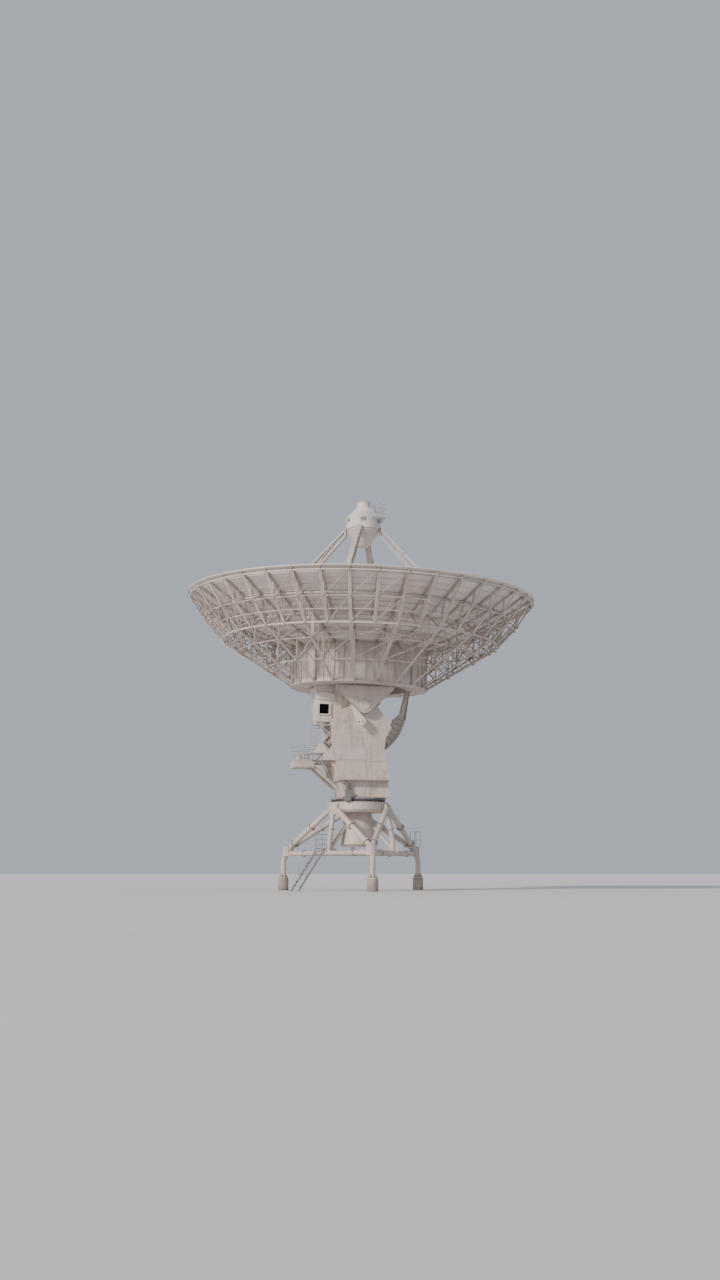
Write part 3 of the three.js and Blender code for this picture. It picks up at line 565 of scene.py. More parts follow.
def concrete(name):
    """Cast concrete: cloudy grey with pores, darkened by damp over the lowest 300 mm."""
    material, tree, shader, place = new_finish(name)
    cloud = add(tree, "ShaderNodeTexNoise", {"Vector": place, "Scale": 1000 / 500, "Detail": 5.0})
    links = {"Value": cloud.outputs["Fac"], "From Min": 0.35, "From Max": 0.65}
    share = add(tree, "ShaderNodeMapRange", links).outputs["Result"]
    links = {"Factor": share, FIRST: linear("#8d8881"), SECOND: linear("#a9a49b")}
    grey = add(tree, "ShaderNodeMix", links, data_type="RGBA").outputs[MIXED]
    height = add(tree, "ShaderNodeSeparateXYZ", {0: place}).outputs["Z"]
    links = {"Value": height, "From Max": 0.3, "To Min": 0.6, "To Max": 0.0}
    damp = add(tree, "ShaderNodeMapRange", links).outputs["Result"]
    links = {"Factor": damp, FIRST: grey, SECOND: linear("#5f574d")}
    grey = add(tree, "ShaderNodeMix", links, data_type="RGBA").outputs[MIXED]
    tree.links.new(grey, shader.inputs["Base Color"])
    shader.inputs["Roughness"].default_value = 0.9
    # Real pores are a few mm wide; these are 30 mm, so that they show.
    pores = add(tree, "ShaderNodeTexNoise", {"Vector": place, "Scale": 1000 / 30, "Detail": 6.0})
    links = {"Height": pores.outputs["Fac"], "Strength": 0.5, "Distance": 0.006}
    relief = add(tree, "ShaderNodeBump", links).outputs["Normal"]
    tree.links.new(relief, shader.inputs["Normal"])
    return material


def structure_paint(name):
    """Chalky off-white paint on welded steel, with rain streaks and rust at some places."""
    ground = (*bpy.context.scene.telescope_colours.structure, 1.0)
    layers = [
        (linear("#b9aea6"), 0.7, 1400, 1, 0.35, 0.65, 0),
        (linear("#6f655c"), 0.5, 110, 16, 0.46, 0.74, 900),
        (linear("#7a4a32"), 0.7, 60, 1, 0.66, 0.74, 2300),
        (linear("#7a4a32"), 0.6, 55, 9, 0.62, 0.74, 2300),
    ]
    return layered(name, ground, layers, 0.55, spread=0.3)


def panel_paint(name):
    """Matt white paint on aluminium sheet: clean, each panel a slightly different shade."""
    ground = (*bpy.context.scene.telescope_colours.panels, 1.0)
    layers = [
        (linear("#c4bcb4"), 0.35, 2600, 1, 0.35, 0.65, 0),
        (linear("#9d958b"), 0.3, 180, 6, 0.5, 0.76, 1600),
    ]
    return layered(name, ground, layers, 0.5, spread=0.5)


def housing_paint(name):
    """Smooth sprayed enamel on sheet housings: whiter than the structure, with thin rain marks."""
    layers = [
        (linear("#c2bab1"), 0.6, 900, 1, 0.35, 0.65, 0),
        (linear("#7d746a"), 0.4, 90, 14, 0.48, 0.74, 900),
        (linear("#7a4a32"), 0.35, 55, 9, 0.66, 0.76, 1500),
    ]
    return layered(name, linear("#e0dad2"), layers, 0.42, spread=0.2)


def machine_enamel(name):
    """Grey enamel on gearboxes and motors: oily, so a little glossy, with dark grime."""
    layers = [
        (linear("#6f7171"), 0.8, 500, 1, 0.35, 0.65, 0),
        (linear("#3e3a36"), 0.6, 80, 5, 0.48, 0.72, 600),
    ]
    return layered(name, linear("#8b8d8c"), layers, 0.38, spread=0.2)


def plated_bolts(name):
    """Zinc-plated bolts and nuts: small, grey and slightly bright against the paint."""
    layers = [(linear("#6d6760"), 1.0, 18, 1, 0.35, 0.65, 0)]
    return layered(name, linear("#8c8a86"), layers, 0.42, 0.8)


def greased_steel(name):
    """Cut gear teeth under old grease: dark steel that shines along the teeth."""
    layers = [(linear("#4b4641"), 1.0, 60, 1, 0.35, 0.65, 0)]
    return layered(name, linear("#8a847c"), layers, 0.36, 0.7)


def near_black_painted_shade(name):
    """Painted shade: flat, nearly black colour for the unlit inside of the room's hatch and of the
    arm's pocket, and for the housing's louvres and the band under its cap.
    """
    layers = [(linear("#0c0d10"), 1.0, 300, 1, 0.35, 0.65, 0)]
    return layered(name, linear("#15161a"), layers, 0.8)


def black_rubber(name):
    """Moulded rubber caps: dull black against the paint."""
    layers = [(linear("#161616"), 1.0, 40, 1, 0.35, 0.65, 0)]
    return layered(name, linear("#232222"), layers, 0.65)


MAKERS = {
    "structure paint": structure_paint,
    "panel paint": panel_paint,
    "housing paint": housing_paint,
    "machine enamel": machine_enamel,
    "galvanised steel": galvanised,
    "cast concrete": concrete,
    "plated bolts": plated_bolts,
    "greased steel": greased_steel,
    "dark interior": near_black_painted_shade,
    "black rubber": black_rubber,
}

# The CAD material that each finish stands for.
SLOTS = {
    "structure paint": "structure_paint",
    "panel paint": "panel_paint",
    "housing paint": "housing_paint",
    "machine enamel": "machinery_grey",
    "galvanised steel": "galvanised_steel",
    "cast concrete": "concrete",
    "plated bolts": "galvanised_steel",
    "greased steel": "machinery_grey",
    "dark interior": "housing_paint",
    "black rubber": "housing_paint",
}
FINISHES = {}


def finish(name):
    """Makes each finish once, when the first piece asks for it."""
    if name not in FINISHES:
        FINISHES[name] = MAKERS[name](name)
    return FINISHES[name]


# Sizes and colours that a user would change

class TelescopeSizes(bpy.types.PropertyGroup):
    """Sizes of the panels, bars, rails, bolts and teeth"""
    panel_gap: FloatProperty(
        name="Panel gap", description="Open joint between neighbouring panels",
        default=0.014, min=0.002, max=0.05, unit="LENGTH")
    skin: FloatProperty(
        name="Panel skin", description="Thickness of a panel's sheet",
        default=0.008, min=0.002, max=0.03, unit="LENGTH")
    chord: FloatProperty(
        name="Rib chord", description="Leg of the paired angles along a rib's edges",
        default=0.1, min=0.05, max=0.14, unit="LENGTH")
    brace: FloatProperty(
        name="Brace", description="Diameter of the round braces between ribs",
        default=0.06, min=0.03, max=0.1, unit="LENGTH")
    handrail: FloatProperty(
        name="Handrail", description="Diameter of the handrails",
        default=0.045, min=0.03, max=0.06, unit="LENGTH")
    bolt: FloatProperty(
        name="Bolt head", description="Half the width of a large bolt's head",
        default=0.028, min=0.01, max=0.05, unit="LENGTH")
    teeth: IntProperty(
        name="Sector teeth", description="Teeth on the gear sector",
        default=96, min=40, max=160)


class TelescopeColours(bpy.types.PropertyGroup):
    """Colours of the two main paints and of the floor"""
    structure: FloatVectorProperty(
        name="Structure", description="Paint of the ribs, yoke and pedestal",
        default=linear("#cdc5bd")[:3], size=3, subtype="COLOR")
    panels: FloatVectorProperty(
        name="Panels", description="Paint of the reflector's panels",
        default=linear("#e3ddd6")[:3], size=3, subtype="COLOR")
    floor: FloatVectorProperty(
        name="Floor", description="The pale floor that the telescope stands on",
        default=linear("#dddad7")[:3], size=3, subtype="COLOR")


# Reflector

def bowl(radius):
    """Height of the paraboloid: the vertex's height + radius squared / 4 focal lengths."""
    return VERTEX_HEIGHT + radius ** 2 / (4 * FOCAL_LENGTH)


def panel_field(ring, gap, along, across):
    """Radius and angle of the points of every panel in a ring, drawn in by half the gap."""
    count = PANELS[ring]
    inner, outer = RINGS[ring], RINGS[ring + 1]
    share = np.linspace(0, 1, along)[None, :, None]
    turn = np.linspace(0, 1, across)[None, None, :]
    first = even(count, FIRST_RIB)[:, None, None]
    radius = inner + gap / 2 + (outer - inner - gap) * share + 0 * turn + 0 * first
    margin = gap / 2 / radius
    return radius, first + margin + (2 * math.pi / count - 2 * margin) * turn


def steps_across(ring):
    """Points across a panel, so many that each ring turns in more than 120 steps."""
    return 2 + 120 // PANELS[ring]


def panel_skins(sizes):
    """Each panel is the paraboloid over its own share of a ring, as thick as its skin."""
    parts = []
    for ring in range(len(PANELS)):
        radius, angle = panel_field(ring, sizes.panel_gap, 5, steps_across(ring))
        top = polar(radius, angle, bowl(radius))
        parts.append(shell(top, polar(radius, angle, bowl(radius) - sizes.skin)))
    return joined(*parts)


def panel_frames(sizes):
    """Upright webs under each panel: two along its ring edges, two along its sides, and three
    between them with a foot, all curved along the paraboloid."""
    parts = []
    web, foot_width, foot_depth = 0.006, 0.035, 0.005
    for ring in range(len(PANELS)):
        radius, angle = panel_field(ring, sizes.panel_gap, 5, steps_across(ring))
        upper = bowl(radius) - sizes.skin
        lower = bowl(radius) - PANEL_DEPTH
        for column, way in ((slice(0, 1), 1), (slice(-1, None), -1)):
            edge = angle[..., column]
            side = np.concatenate([edge, edge + way * web / radius[..., column]], -1)
            reach = np.repeat(radius[..., column], 2, axis=-1)
            high = np.repeat(upper[..., column], 2, axis=-1)
            deep = np.repeat(lower[..., column], 2, axis=-1)
            parts.append(shell(polar(reach, side, high), polar(reach, side, deep)))
        for share, way in ((0.0, 1), (0.25, 1), (0.5, 1), (0.75, 1), (1.0, -1)):
            line = RINGS[ring] + sizes.panel_gap / 2
            line += (RINGS[ring + 1] - RINGS[ring] - sizes.panel_gap) * share
            level = angle[:, :1, :] * (1 - share) + angle[:, -1:, :] * share
            turn = np.concatenate([level, level], axis=1)
            reach = line + np.array([0, way * web])[None, :, None] + 0 * turn
            high = bowl(line) - sizes.skin
            deep = bowl(line) - PANEL_DEPTH
            parts.append(shell(polar(reach, turn, high), polar(reach, turn, deep)))
            if 0 < share < 1:
                foot = line + np.array([0, foot_width])[None, :, None] + 0 * turn
                top = polar(foot, turn, deep + foot_depth)
                parts.append(shell(top, polar(foot, turn, deep)))
    return joined(*parts)


def under(radius):
    """Height of the feet of the panels' webs."""
    return bowl(radius) - PANEL_DEPTH


# Centre lines of a main rib in its own plane, as (radius, height): the upper chord from the
# hub to the rim, and the lower chord from the hub over the knuckle and shoulder.
UPPER = [(r, under(r) - 0.055) for r in (4.83, 6.7, 8.6, 10.5, 12.34)]
LOWER = [(4.83, 1.50), (6.7, 2.665), (8.6, 3.835), (9.86, 4.64), (11.24, 6.16)]

# The section of a hoop, an angle with its foot inwards, as offsets in (radius, height).
HOOP_SECTION = np.array([
    (-0.06, -0.05), (0.05, -0.05), (0.05, 0.06), (0.04, 0.06), (0.04, -0.04), (-0.06, -0.04)])


def rib_lines(pairs):
    """Lines in the X-Z plane from pairs of (radius, height)."""
    return [[(a[0], 0, a[1]), (b[0], 0, b[1])] for a, b in pairs]


def middle(a, b, share=0.5):
    """The point at a share of the way from a to b."""
    return (a[0] + (b[0] - a[0]) * share, a[1] + (b[1] - a[1]) * share)


def angle_pair(leg, thickness, gap, foot_up):
    """Two L profiles back to back, with their feet above or below."""
    way = 1 if foot_up else -1
    half = leg / 2
    one = np.array([
        (gap / 2, -half), (gap / 2 + thickness, -half), (gap / 2 + thickness, half - thickness),
        (gap / 2 + leg, half - thickness), (gap / 2 + leg, half), (gap / 2, half)])
    return [one * (1, way), one * (-1, way)]


def truss(top_chord, low_chord, webs, chord_leg, web_leg):
    """Chords and webs of paired angles, the chords' feet along the truss's outer edges."""
    parts = []
    for lines, foot_up in ((top_chord, True), (low_chord, False)):
        parts += [bars(lines, half) for half in angle_pair(chord_leg, 0.01, 0.02, foot_up)]
    return parts + [bars(webs, half) for half in angle_pair(web_leg, 0.008, 0.02, True)]


def main_rib(sizes):
    """A truss from the hub to the rim, with thinner bars that halve its longer ones."""
    upper, lower = UPPER, LOWER
    top_chord = rib_lines(zip(upper[:-1], upper[1:]))
    low_chord = rib_lines([*zip(lower[:-1], lower[1:]), (lower[4], upper[4])])
    zigzag = [node for pair in zip(lower[:4], upper[:4]) for node in pair] + [lower[4]]
    webs = rib_lines(zip(zigzag[:-1], zigzag[1:]))
    fine = rib_lines([
        (middle(upper[0], lower[1]), middle(upper[0], upper[1])),
        (middle(upper[0], lower[1]), middle(lower[0], lower[1])),
        (middle(upper[0], lower[1]), middle(lower[0], upper[0])),
        (middle(upper[1], lower[2]), middle(upper[1], upper[2])),
        (middle(upper[1], lower[2]), middle(lower[1], lower[2])),
        (middle(upper[2], lower[3]), middle(upper[2], upper[3])),
        (lower[4], middle(upper[3], upper[4]))])
    parts = truss(top_chord, low_chord, webs, sizes.chord, 0.075)
    parts.append(bars(fine, rectangle(0.05, 0.05)))
    return joined(*parts, *gussets([*upper, *lower], 0.17))


def outer_rib(sizes):
    """A lighter truss between two main ribs, from the third ring of nodes to the rim."""
    upper, lower = UPPER[2:], LOWER[3:]
    top_chord = rib_lines(zip(upper[:-1], upper[1:]))
    low_chord = rib_lines([(upper[0], lower[0]), (lower[0], lower[1]), (lower[1], upper[2])])
    half_way = middle(upper[1], upper[2])
    webs = rib_lines([(lower[0], upper[1]), (upper[1], lower[1]), (lower[1], half_way)])
    parts = truss(top_chord, low_chord, webs, sizes.chord * 0.9, 0.07)
    return joined(*parts, *gussets([*upper, *lower], 0.15))


def gussets(nodes, size):
    """Eight-sided plates, 16 mm thick, where the members of a rib meet, smaller at the rim."""
    ring = circle(size, 8)
    room = [min(1, (RINGS[-1] - 0.03 - radius) / size) for radius, _ in nodes]
    return [prism(ring * share + node, -0.008, 0.008) for share, node in zip(room, nodes)]


def rib_angles(step=1, first=0):
    """Angles of the ribs, every so many from the first one on."""
    return FIRST_RIB + np.arange(first, RIBS, step) * RIB_STEP


def ring_bars(nodes, angles, turn, radius):
    """Straight bars from the first node of one rib to the second node of the next, turn further."""
    start, end = nodes
    starts = polar(start[0], angles, start[1])
    ends = polar(end[0], angles + turn, end[1])
    return tubes(np.stack([starts, ends], axis=1), radius, 8)


def ribs(sizes):
    """Main ribs and outer ribs in turn, round the dish."""
    main = around(main_rib(sizes), rib_angles(2))
    return joined(main, around(outer_rib(sizes), rib_angles(2, 1)))


def hoops_and_braces(sizes):
    """Hoops are rings of straight angles or pipes between the ribs. Braces lean from rib to rib
    in the lower face and in the upright planes at the rings."""
    hoops = [(r, under(r) - 0.13) for r in (6.7, 8.6, 10.5, 12.32)] + [LOWER[3]]
    parts = [lathe(HOOP_SECTION + hoop, RIBS, closed=True, start=FIRST_RIB) for hoop in hoops]
    main, every = rib_angles(2), rib_angles()
    thin = sizes.brace / 2
    for a, b in ((1, 2), (2, 3)):
        parts.append(ring_bars((LOWER[a], LOWER[b]), main, 2 * RIB_STEP, thin * 0.8))
    for index in (1, 2):
        parts.append(ring_bars((LOWER[index], LOWER[index]), main, 2 * RIB_STEP, thin * 1.2))
    parts.append(ring_bars((UPPER[2], LOWER[2]), main, 2 * RIB_STEP, thin * 0.7))
    for pair in ((LOWER[3], UPPER[3]), (LOWER[4], UPPER[4]), (LOWER[3], LOWER[4])):
        parts.append(ring_bars(pair, every, RIB_STEP, thin * 0.7))
    for node in (middle(LOWER[3], LOWER[4]), LOWER[4]):
        parts.append(ring_bars((node, node), every, RIB_STEP, thin * 1.1))
    return joined(*parts)


class TELESCOPE_OT_reflector(bpy.types.Operator):
    """Build the reflector's panels with their seams and the webs behind them"""
    bl_idname = "telescope.reflector"
    bl_label = "Reflector panels"

    def execute(self, context):
        sizes = context.scene.telescope_sizes
        segments = [f"reflector_segment_{i}" for i in range(1, 6)]
        build("reflector_panels", panel_skins(sizes), "panel paint", "dish", segments)
        build("panel_webs", panel_frames(sizes), "panel paint", "dish")
        return {"FINISHED"}


class TELESCOPE_OT_ribs(bpy.types.Operator):
    """Build the ribs, hoops and braces behind the reflector"""
    bl_idname = "telescope.ribs"
    bl_label = "Rib trusses"

    def execute(self, context):
        sizes = context.scene.telescope_sizes
        frames = [f"rib_frame_{i}" for i in range(1, 6)]
        build("rib_trusses", ribs(sizes), "structure paint", "dish", frames)
        build("hoops_and_braces", hoops_and_braces(sizes), "structure paint", "dish")
        return {"FINISHED"}


# Hub, room and gear sector

def hub_drum():
    """The drum's outline turned about the dish's axis, with three flanges, a stiffener at each
    rib, weld beads, and low ribs and seams on its underside."""
    foot, top, wall = 1.4, 4.1, HUB_RADIUS - 0.01
    body = lathe([
        (CORE, 1.95), (3.4, 1.95), (3.4, foot), (HUB_RADIUS, foot),
        *[(r, under(r)) for r in (HUB_RADIUS, 3.85, 2.9, 2.0, 1.2)], (CORE, under(1.2))], 120)
    flanges = [band(wall, wall + width, low, low + 0.03, 120)
               for width, low in ((0.11, foot), (0.05, 2.75), (0.09, top))]
    stiffener = blocks([(wall, -0.012, foot + 0.03), (4.87, 0.012, top)])
    under_ribs = blocks([(3.42, -0.01, 1.375), (4.78, 0.01, foot)])
    beads = blocks([(4.795, -0.011, 1.44), (4.812, 0.011, top)])
    seams = [band(r - 0.01, r + 0.01, 1.39, 1.405) for r in (3.75, 4.4)]
    return joined(
        body, *flanges, around(stiffener, rib_angles()), around(under_ribs, rib_angles(2)),
        around(beads, rib_angles(4) + RIB_STEP / 2), *seams)


def hub_fittings(sizes):
    """Bolts along the lower flange and framed doors in the wall."""
    heads = bolts(polar(4.85, even(120, 0.02), 1.43), (0, 0, 1), sizes.bolt * 0.8, 0.03)
    hinges = [[(4.85, -0.33, z), (4.85, -0.33, z + 0.15)] for z in (1.75, 2.3)]
    door = joined(
        blocks([(4.8, -0.36, 1.62), (4.835, 0.36, 2.62)]),
        blocks([(4.83, -0.3, 1.68), (4.85, 0.3, 2.56)]),
        tubes([[(4.86, 0.2, 2.0), (4.86, 0.2, 2.2)]], 0.012, 8),
        tubes(hinges, 0.02, 8))
    return heads, around(door, np.radians([-99, 81, 171]))


def room_rear(height):
    """X of the room's sloping rear end at a height."""
    return -3.04 - 0.102 * (height + 1.15)


def room_fittings():
    """Frames, stiffeners and louvres on the room that hangs between the arms."""
    left, right, bottom, top = HATCH
    rim, back, proud = 0.07, -1.28, -1.345
    surround = blocks([
        [(left - rim, proud, bottom - rim), (left, back, top + rim)],
        [(right, proud, bottom - rim), (right + rim, back, top + rim)],
        [(left, proud, top), (right, back, top + rim)],
        [(left - 0.03, proud - 0.05, bottom - rim), (right + 0.03, back, bottom)]])
    parts = [surround]
    # Uprights with a lip on both long sides, as (x, foot), and level bars, as (start, end, height).
    head = 1.35
    uprights = [(-2.1, -1.1), (-1.4, -0.5), (-0.7, -0.5), (0.0, -0.5), (0.7, -0.1)]
    levels = [(-3.02, -1.97, -1.12), (-2.1, 0.55, -0.5), (-2.2, 1.35, 0.55), (-2.3, 1.35, 1.32)]
    for side in (-1, 1):
        face, web, lip = side * 1.3, side * 1.3175, side * 1.341
        boxes = [[(x - 0.008, web - 0.0275, foot), (x + 0.008, web + 0.0275, head)]
                 for x, foot in uprights]
        boxes += [[(x - 0.035, lip - 0.004, foot), (x + 0.035, lip + 0.004, head)]
                  for x, foot in uprights]
        boxes += [[(start, face - 0.03, z), (end, face + 0.03, z + 0.012)]
                  for start, end, z in levels]
        parts.append(blocks(boxes))
    # Louvres in a frame on the sloping rear end.
    slats = [[(room_rear(z) - 0.03, 0.25, z), (room_rear(z) + 0.05, 1.0, z + 0.035)]
             for z in np.linspace(-0.5, 0.4, 10)]
    edges = [[(room_rear(z) - 0.01, y, z) for z in (-0.58, 0.5)] for y in (0.22, 1.03)]
    parts += [blocks(slats), bars(edges, rectangle(0.06, 0.06))]
    # A door on the far side, with a raised middle.
    parts.append(blocks([
        [(-2.85, 1.28, -0.75), (-2.15, 1.345, 0.95)], [(-2.78, 1.30, -0.68), (-2.22, 1.36, 0.88)]]))
    hood_lips = joined(
        bars([[(-3.23, -1.42, 0.485), (-1.9, -1.42, 0.345)]], rectangle(0.02, 0.06)),
        bars([[(-3.265, -1.42, 0.925), (-1.9, -1.42, 0.825)]], rectangle(0.02, 0.06)),
        blocks([[(-2.62, -1.428, 0.43), (-2.6, -1.41, 0.87)],
                [(-2.05, -1.428, 0.37), (-2.03, -1.41, 0.83)]]))
    return joined(*parts), hood_lips


def room_inside():
    """The back, cheeks, head and floor of the hatch, just inside the room's opening, in near-black
    painted shade.
    """
    left, right, bottom, top = HATCH
    front, back, tight, loose = -1.28, -0.86, 0.002, 0.004
    return blocks([
        [(left + loose, -0.87, bottom + loose), (right - loose, -0.853, top - loose)],
        [(left + tight, front, bottom + loose), (left + 0.018, back, top - loose)],
        [(right - 0.018, front, bottom + loose), (right - tight, back, top - loose)],
        [(left + loose, front, top - 0.018), (right - loose, back, top - tight)],
        [(left + loose, front, bottom + tight), (right - loose, back, bottom + 0.018)]])


def hatch_leaf():
    """The open leaf that folds back beside the hatch, and its two hinges."""
    _, right, bottom, top = HATCH
    leaf = blocks([(right + 0.09, -1.42, bottom - 0.04), (right + 0.12, -1.34, top + 0.04)])
    pin = right + 0.08
    hinges = [[(pin, -1.36, z), (pin, -1.36, z + 0.1)] for z in (bottom + 0.1, top - 0.2)]
    return joined(leaf, tubes(hinges, 0.02, 8))


def trunnion_plate(side):
    """The V plate with its flange edges, hub pad, bearing collar and radial stiffeners."""
    low, high = sorted((side * 2.4, side * 2.8))
    centre = side * 2.6
    end, foot, top = 2.05, 1.15, 1.398
    boss = arc((0, 0), 0.56, 215, 325, 24)
    outline = [*boss, (end, foot), (end, top), (-end, top), (-end, foot)]
    body = prism(outline, low + 0.1, high - 0.1)
    cheeks = [prism(outline, y, y + 0.03) for y in (low, high - 0.03)]
    # Four webs fan out from the boss to the pad, from an angle in radians to an x.
    webs = bars([[(0.5 * math.cos(a), centre, 0.5 * math.sin(a)), (x, centre, 1.36)]
                 for a, x in ((2.3, -1.3), (1.9, -0.5), (1.24, 0.5), (0.84, 1.3))],
                rectangle(0.37, 0.02))
    edges = bars([
        [(boss[-1][0], centre, boss[-1][1]), (end, centre, foot)],
        [(boss[0][0], centre, boss[0][1]), (-end, centre, foot)],
        [(-end, centre, 1.38), (end, centre, 1.38)]], rectangle(0.4, 0.03))
    # The collar starts 2.43 m out and reaches 0.17 m towards the near side, on both sides.
    collar = [(0.3, 0), (0.48, 0), (0.48, 0.15), (0.46, 0.17), (0.3, 0.17)]
    collar = moved(turned(lathe(collar, 64, closed=True), ALONG_Y), (0, side * 2.43, 0))
    cap = [(CORE, -0.05), (0.34, -0.05), (0.36, -0.03), (0.36, 0.03), (0.34, 0.05), (CORE, 0.05)]
    cap = moved(turned(lathe(cap, 48), ALONG_Y), (0, side * 2.8, 0))
    shaft = tubes([[(0, side * 1.301, 0), (0, side * 2.45, 0)]], 0.349, 48)
    return joined(body, *cheeks, webs, edges, collar, cap, shaft)


def trunnion_bolts(side, size):
    """Bolts round the shaft's cap and along the pad under the hub."""
    face = side * 2.8
    spots = [(x, face, z) for x, z in circle(0.44, 16)]
    spots += [(x, face, 1.27) for x in np.linspace(-1.9, 1.9, 17)]
    return bolts(spots, (0, side, 0), size * 0.8, 0.025)


def sector_slab(inner, outer, end, low, high):
    """A curved plate from -135 degrees to an end angle: (r cos a, r sin a) between two radii in
    the X-Z plane, from low to high along Y."""
    angle = np.radians(np.linspace(-135, end, 60))[None, :]
    radius = np.array([inner, outer])[:, None]
    x, z = radius * np.cos(angle), radius * np.sin(angle)
    return shell(np.stack([x, 0 * x + low, z], -1), np.stack([x, 0 * x + high, z], -1))


def sector_girder():
    """A curved box of a rim, an inner flange, two webs and radial stiffeners, with a horn and a
    shoe under the hub at its front end, and two spokes that hold its middle and rear."""
    rim, web_outer, web_inner = 3.42, 3.36, 2.69
    parts = [
        sector_slab(3.35, rim, -12, -0.28, 0.28),
        sector_slab(2.65, 2.70, -14, -0.28, 0.28),
        sector_slab(web_inner, web_outer, -12, -0.17, -0.145),
        sector_slab(web_inner, web_outer, -12, 0.145, 0.17),
    ]
    for y in (-0.225, 0.225):
        lines = [[(r * math.cos(a), y, r * math.sin(a)) for r in (web_inner, web_outer)]
                 for a in np.radians(np.linspace(-135, -12, 18))]
        parts.append(bars(lines, rectangle(0.105, 0.016)))
    top, foot = math.radians(-12), math.radians(-22)
    horn = [
        (rim * math.cos(top), rim * math.sin(top)), (3.70, 1.397), (3.43, 1.397), (3.05, -0.2),
        (2.62, -0.62), (web_inner * math.cos(foot), web_inner * math.sin(foot))]
    parts.append(prism(horn, -0.165, 0.165))
    horn_edges = [[(rim, 0, -0.70), (3.69, 0, 1.39)], [(3.06, 0, -0.19), (3.44, 0, 1.39)]]
    parts.append(bars(horn_edges, rectangle(0.56, 0.03)))
    parts.append(blocks([(web_outer, -0.28, 1.35), (3.78, 0.28, 1.398)]))
    rear_spoke = [(-2.4, -1.3), (-1.95, -1.95), (-1.95, -1.151), (-2.4, -1.151)]
    parts += [prism(rear_spoke, y, y + 0.03) for y in (-0.265, 0.235)]
    parts.append(blocks([
        [(-2.41, -0.28, -1.3), (-2.38, 0.28, -1.151)], [(-1.97, -0.28, -1.9), (-1.94, 0.28, -1.151)]]))
    middle_spoke = [(0.5, -2.7), (0.85, -2.66), (0.45, -0.551), (0.1, -0.551)]
    parts.append(prism(middle_spoke, -0.02, 0.02))
    spoke_edges = [[(0.5, 0, -2.7), (0.1, 0, -0.56)], [(0.85, 0, -2.66), (0.45, 0, -0.56)]]
    parts.append(bars(spoke_edges, rectangle(0.4, 0.03)))
    return joined(*parts)


def sector_teeth(count):
    """Trapezium teeth on the rim, even steps of angle apart."""
    section = [(3.415, -0.030), (3.495, -0.014), (3.495, 0.014), (3.415, 0.030)]
    return copies(prism(section, -0.2, 0.2), about_y(np.radians(np.linspace(134, 13, count))))


class TELESCOPE_OT_hub(bpy.types.Operator):
    """Build the hub drum, its doors and bolts"""
    bl_idname = "telescope.hub"
    bl_label = "Hub"

    def execute(self, context):
        sizes = context.scene.telescope_sizes
        heads, doors = hub_fittings(sizes)
        build("hub_drum", hub_drum(), "structure paint", "dish", ["hub"])
        build("hub_doors", doors, "housing paint", "dish", bevel=0.006)
        build("hub_bolts", heads, "plated bolts", "dish")
        return {"FINISHED"}


class TELESCOPE_OT_room(bpy.types.Operator):
    """Dress the vertex room: hatch, hood, stiffeners and louvres"""
    bl_idname = "telescope.room"
    bl_label = "Vertex room"

    def execute(self, context):
        dress("vertex_room", "housing paint")
        frames, lips = room_fittings()
        build("room_frames", frames, "housing paint", "dish", bevel=0.004)
        build("hood_lips", lips, "housing paint", "dish", bevel=0.004)
        # The hatch's lining is painted shade: near black where the room's inside lies unlit.
        build("hatch_inside", room_inside(), "dark interior", "dish")
        build("hatch_leaf", hatch_leaf(), "housing paint", "dish", bevel=0.004)
        return {"FINISHED"}


class TELESCOPE_OT_tipping_gear(bpy.types.Operator):
    """Build the trunnions and the toothed gear sector"""
    bl_idname = "telescope.tipping_gear"
    bl_label = "Trunnions and gear sector"

    def execute(self, context):
        sizes = context.scene.telescope_sizes
        for side, name in ((-1, "near"), (1, "far")):
            plate, heads = trunnion_plate(side), trunnion_bolts(side, sizes.bolt)
            build(f"trunnion_frame_{name}", plate, "structure paint", "dish", [f"trunnion_{name}"])
            build(f"trunnion_bolts_{name}", heads, "plated bolts", "dish")
        teeth = sector_teeth(sizes.teeth)
        build("sector_girder", sector_girder(), "structure paint", "dish", ["gear_sector"])
        build("sector_teeth", teeth, "greased steel", "dish", slot="structure_paint")
        return {"FINISHED"}


# Feeds, legs and apex

def feed_cluster():
    """The drum in the middle of the reflector, with flared and ringed horns on its roof."""
    roof, foot = 4.45, 4.43
    parts = [lathe([
        (CORE, under(1.2)), (1.12, under(1.2)), (1.12, 4.36), (1.15, 4.38), (1.15, 4.42),
        (1.12, roof), (CORE, roof)], 64)]
    horns = ((0.45, 0, 0.9, 0.3), (-0.35, 0.48, 0.5, 0.23), (-0.35, -0.48, 0.35, 0.2))
    for x, y, height, radius in horns:
        top = foot + height
        share = np.linspace(0, 1, 16)
        flare = radius * (0.6 + 0.4 * share) + np.where(np.arange(16) % 2 == 1, 0.012, 0.0)
        profile = [
            (CORE, foot), *zip(flare, foot + (top - foot) * share), (radius * 0.86, top),
            (radius * 0.5, foot + 0.08), (CORE, foot + 0.08)]
        collar = band(radius * 0.6, radius * 0.6 + 0.08, roof, roof + 0.03, 32)
        parts += [moved(part, (x, y, 0)) for part in (lathe(profile, 32), collar)]
    parts.append(blocks([(-0.75, -0.16, roof), (-0.45, 0.16, 4.7)]))
    return joined(*parts)


def meets_bowl(start, end):
    """The share of a line in the X-Z plane at which it comes down to the bowl: the root of
    (start x + run s) squared / 4 focal lengths + vertex height = start z + fall s."""
    run, fall = end[0] - start[0], end[1] - start[1]
    a = run ** 2 / (4 * FOCAL_LENGTH)
    b = 2 * start[0] * run / (4 * FOCAL_LENGTH) - fall
    c = bowl(start[0]) - start[1]
    return (-b + math.sqrt(b * b - 4 * a * c)) / (2 * a)


